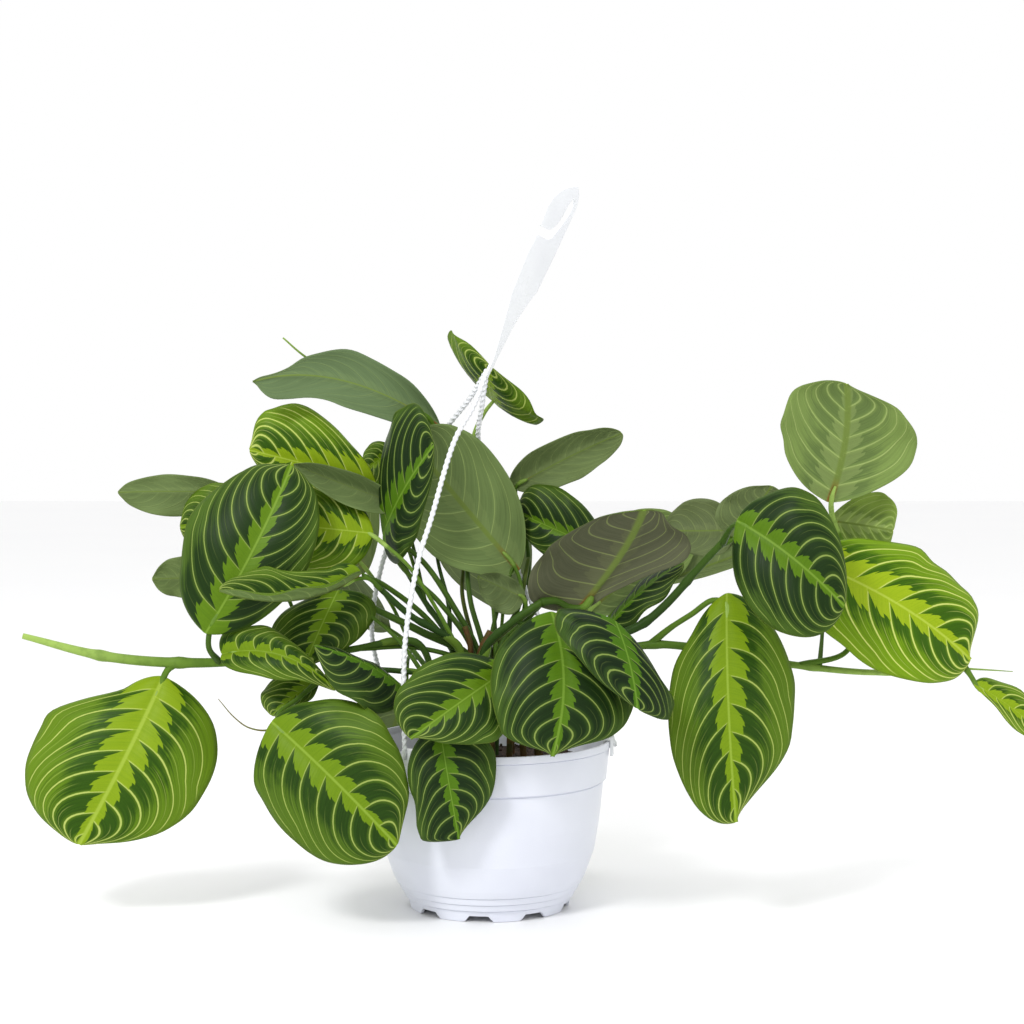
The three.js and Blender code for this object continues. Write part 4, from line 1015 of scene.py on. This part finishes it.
class LeafGraph(Graph):
    """One face of the leaves: its coordinates, noises, veins and markings."""

    def __init__(self, name):
        super().__init__(name, specular=LEAF_SPECULAR)
        row, self.distance, self.reach = self.parts("leaf_place")
        self.along, density, self.tone = self.parts("leaf_more")
        seed, self.blush, self.size = self.parts("leaf_kind")
        self.phase = self.math("FRACT", row)
        off_middle = self.math("ABSOLUTE", self.math("SUBTRACT", self.phase, 0.5))
        self.vein_mm = self.math("DIVIDE", self.math("SUBTRACT", 0.5, off_middle), density)
        middle_mm = self.math("DIVIDE", off_middle, density)
        thin = self.times(
            self.step(self.reach, 0.3, 1.0, 0.5, 0.24),
            self.step(self.size, 0.3, 1.0, 0.7, 1.0),
            self.step(self.tone, 0.3, 0.8, 1.0, 1.4),
        )
        vein = self.fall(self.math("DIVIDE", self.vein_mm, thin), 0.55, 1.25)
        self.vein = self.times(vein, self.fall(self.reach, 0.9, 0.985))
        between = self.fall(self.math("DIVIDE", middle_mm, thin), 0.1, 0.7)
        away = self.times(self.step(self.reach, 0.3, 0.5), self.fall(self.reach, 0.75, 0.93))
        self.between = self.times(between, away)
        self.streaks = self.leaf_noise(row, 15.0, 2.2, seed, 0.0, detail=3)
        self.patches = self.leaf_noise(row, 1.7, 5.0, seed, 5.0)
        self.jags = self.leaf_noise(row, 3.0, 4.0, seed, 11.0)

    def leaf_noise(self, row, along, across, seed, shift, detail=2):
        """Noise that follows the side veins, and differs from leaf to leaf."""
        place = self.node("ShaderNodeCombineXYZ", self.times(row, along), self.times(self.distance, across),
                          self.add(self.times(seed, 37.0), shift))
        return self.noise(place, detail=detail)

    def band(self):
        """The feathered band along the midrib: it widens from one side vein to the next, in small teeth."""
        teeth = self.math("FRACT", self.times(self.phase, 3.0))
        swell = self.step(self.phase, 0.0, 0.55)
        reach = self.times(
            self.add(self.times(swell, 0.8), self.times(teeth, 0.24), 0.2),
            self.step(self.along, 0.3, 1.0, 1.0, 0.2),
            self.step(self.along, 0.0, 0.16, 1.25, 1.0),
            self.add(0.8, self.times(self.jags, 0.4)),
            self.step(self.tone, 0.1, 0.9, 0.22, 0.29),
        )
        return self.fall(self.math("SUBTRACT", self.distance, reach), -0.008, 0.008)

    def dark(self):
        """The dark blotches between the side veins, next to the band."""
        rough = self.add(self.times(self.streaks, 0.42), self.times(self.patches, 0.5), -0.46)
        limit = self.step(self.tone, 0.0, 0.5, 0.88, 0.5)
        return self.times(
            self.fall(self.math("SUBTRACT", self.add(self.distance, rough), limit), -0.16, 0.14),
            self.step(self.vein_mm, 0.5, 2.6, 0.35, 1.0),
            self.step(self.reach, 0.8, 1.0, 1.0, 0.45),
        )

    def rib(self, inner, outer):
        return self.fall(self.math("DIVIDE", self.distance, self.add(self.size, 0.2)), inner, outer)


def leaf_upper():
    g = LeafGraph("leaf_upper_face")
    green = g.blend(g.tone, (42, 64, 24), (100, 134, 14))
    rim = g.blend(g.tone, (60, 86, 32), (122, 152, 28))
    green = g.blend(g.step(g.reach, 0.55, 1.0, 0.0, 0.35), green, rim)
    colour = g.blend(g.dark(), green, g.blend(g.tone, (15, 30, 13), (52, 88, 4)))
    colour = g.blend(1.0, colour, g.step(g.streaks, 0.25, 0.75, 0.86, 1.16), "MULTIPLY")
    pale = g.blend(g.tone, (128, 148, 72), (194, 206, 108))
    colour = g.blend(g.times(g.between, g.step(g.tone, 0.0, 1.0, 0.12, 0.4)), colour, pale)
    colour = g.blend(g.times(g.vein, g.step(g.tone, 0.0, 1.0, 0.72, 0.95)), colour, pale)
    band = g.blend(g.tone, (58, 98, 14), (148, 172, 24))
    band = g.blend(g.times(g.vein, 0.35), band, g.blend(g.tone, (88, 126, 34), (172, 192, 58)))
    streaked = g.blend(g.tone, (42, 80, 10), (112, 148, 10))
    band = g.blend(g.times(g.step(g.streaks, 0.4, 0.7), 0.25), band, streaked)
    colour = g.blend(g.times(g.band(), 0.96), colour, band)
    rib = g.blend(g.tone, (96, 132, 44), (176, 196, 72))
    colour = g.blend(g.times(g.rib(0.005, 0.02), 0.75), colour, rib)
    colour = g.blend(g.step(g.reach, 0.975, 1.0, 0.0, 0.45), colour, (104, 122, 44))
    g.bump(g.add(g.times(g.streaks, 0.5), g.times(g.vein, -0.4)), 0.0003)
    return g.finish(colour, g.step(g.streaks, 0.2, 0.8, 0.36, 0.5))


def leaf_lower():
    g = LeafGraph("leaf_lower_face")
    green = g.blend(g.blush, g.blend(g.tone, (98, 118, 80), (130, 154, 68)), (88, 88, 68))
    dark = g.blend(g.blush, (72, 92, 52), (70, 70, 56))
    colour = g.blend(g.times(g.dark(), g.step(g.tone, 0.3, 0.7, 0.2, 0.6)), green, dark)
    colour = g.blend(1.0, colour, g.step(g.streaks, 0.25, 0.75, 0.9, 1.1), "MULTIPLY")
    pale = g.blend(g.blush, g.blend(g.tone, (130, 150, 88), (182, 200, 122)), (138, 148, 90))
    colour = g.blend(g.times(g.band(), g.step(g.tone, 0.3, 0.7, 0.1, 0.3)), colour, pale)
    colour = g.blend(g.times(g.vein, g.step(g.size, 0.3, 0.9, 0.2, 0.62)), colour, pale)
    rib = g.blend(g.step(g.along, 0.02, 0.22), (138, 86, 36), (108, 128, 56))
    colour = g.blend(g.times(g.rib(0.02, 0.05), 0.85), colour, rib)
    g.bump(g.add(g.times(g.streaks, 0.5), g.times(g.vein, 0.5)), 0.0003)
    return g.finish(colour, g.step(g.streaks, 0.2, 0.8, 0.5, 0.62))


def stem_material():
    g = Graph("stem_skin", specular=LEAF_SPECULAR)
    tone, dry, _ = g.parts("look")
    mottle = g.noise(g.place(), 150.0, 4.0)
    spots = g.noise(g.place(), 260.0)
    fresh = g.blend(g.step(tone, 0.1, 0.55), (38, 62, 22), (88, 120, 36))
    fresh = g.blend(g.step(tone, 0.5, 0.9), fresh, (150, 178, 88))
    colour = g.blend(g.step(mottle, 0.4, 0.7, 0.0, 0.3), fresh, (52, 80, 30))
    # The dry brown is the stems' own colour, made darker in part as painted shade low among the stems.
    brown = g.blend(spots, (58, 34, 22), (112, 72, 46))
    colour = g.blend(g.times(dry, g.step(spots, 0.3, 0.6, 0.75, 1.0)), colour, brown)
    g.bump(mottle, 0.0003)
    return g.finish(colour, g.step(mottle, 0.3, 0.7, 0.4, 0.55))


def plastic(name, colour, shade, roughness):
    """Moulded plastic with a faint cloudiness and a fine grain."""
    g = Graph(name, roughness)
    clouds = g.noise(g.place(), 18.0, 3.0)
    g.bump(g.noise(g.place(), 900.0), 0.00006)
    dullness = g.step(clouds, 0.3, 0.7, roughness - 0.05, roughness + 0.05)
    return g.finish(g.blend(g.step(clouds, 0.35, 0.7), colour, shade), dullness)


def soil_material():
    g = Graph("potting_soil", 0.95)
    lumps = g.noise(g.place(), 240.0, 5.0, 0.65)
    flecks = g.noise(g.place(), 700.0)
    colour = g.blend(g.step(lumps, 0.3, 0.7), (22, 15, 11), (66, 46, 34))
    colour = g.blend(g.step(flecks, 0.62, 0.72, 0.0, 0.7), colour, (112, 88, 64))
    g.bump(g.add(lumps, g.times(flecks, 0.4)), 0.0012)
    return g.finish(colour)


def floor_material():
    g = Graph("studio_floor")
    return g.finish(g.blend(g.noise(g.place(), 2.0), (246, 246, 247), (250, 250, 250)))


# ---------- scene ----------


def make_camera():
    data = bpy.data.cameras.new("photo_camera")
    data.sensor_width = 36
    data.lens = CAMERA_LENS
    camera = link("photo_camera", data)
    camera.location = [c * MM for c in CAMERA_PLACE]
    camera.rotation_euler = (math.radians(90 - CAMERA_PITCH), 0, 0)
    bpy.context.scene.camera = camera


def make_lamp(name, place, target, size, watts):
    data = bpy.data.lights.new(name, "AREA")
    data.shape = "DISK"
    data.size = size
    data.energy = watts
    lamp = link(name, data)
    lamp.location = place
    lamp.rotation_euler = (Vector(target) - Vector(place)).to_track_quat("-Z", "Y").to_euler()


def make_studio():
    world = bpy.data.worlds.new("studio")
    world.use_nodes = True
    background = world.node_tree.nodes["Background"]
    background.inputs["Color"].default_value = (1, 1, 1, 1)
    background.inputs["Strength"].default_value = WORLD_STRENGTH
    bpy.context.scene.world = world
    for lamp in LAMPS:
        make_lamp(*lamp)
    floor = Shape()
    corners = [(-1, -1), (1, -1), (1, 1), (-1, 1)]
    floor.add([(x * FLOOR_REACH, y * FLOOR_REACH, FLOOR_HEIGHT) for x, y in corners], [(0, 1, 2, 3)])
    floor.build("studio_floor", [floor_material()])


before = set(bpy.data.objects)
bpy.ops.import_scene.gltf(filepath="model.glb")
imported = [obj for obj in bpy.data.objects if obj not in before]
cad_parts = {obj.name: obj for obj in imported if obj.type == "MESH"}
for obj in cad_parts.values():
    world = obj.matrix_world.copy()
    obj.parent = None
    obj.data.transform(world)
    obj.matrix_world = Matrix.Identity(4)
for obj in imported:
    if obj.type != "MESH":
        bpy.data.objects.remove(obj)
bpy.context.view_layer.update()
bpy.context.scene.view_settings.view_transform = "Standard"
make_camera()

LEAF_UPPER = leaf_upper()
LEAF_LOWER = leaf_lower()
STEM = stem_material()
POT = plastic("white_pot_plastic", (222, 225, 235), (216, 219, 230), 0.34)
HANGER = plastic("white_hanger_plastic", (238, 240, 243), (230, 232, 236), 0.3)
SOIL = soil_material()

for node, slot, pieces in (
    ("hanger_hook", "hanger", [make_hook()]),
    ("pot", "pot", [make_pot()]),
    ("soil", "soil", [make_soil()]),
    ("hanger_arms", "hanger", make_arms()),
):
    for piece in pieces:
        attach(piece, "root")
        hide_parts(node)
for name, parts in LEAFY_STEMS.items():
    make_leafy_stem(name, **parts)
make_studio()
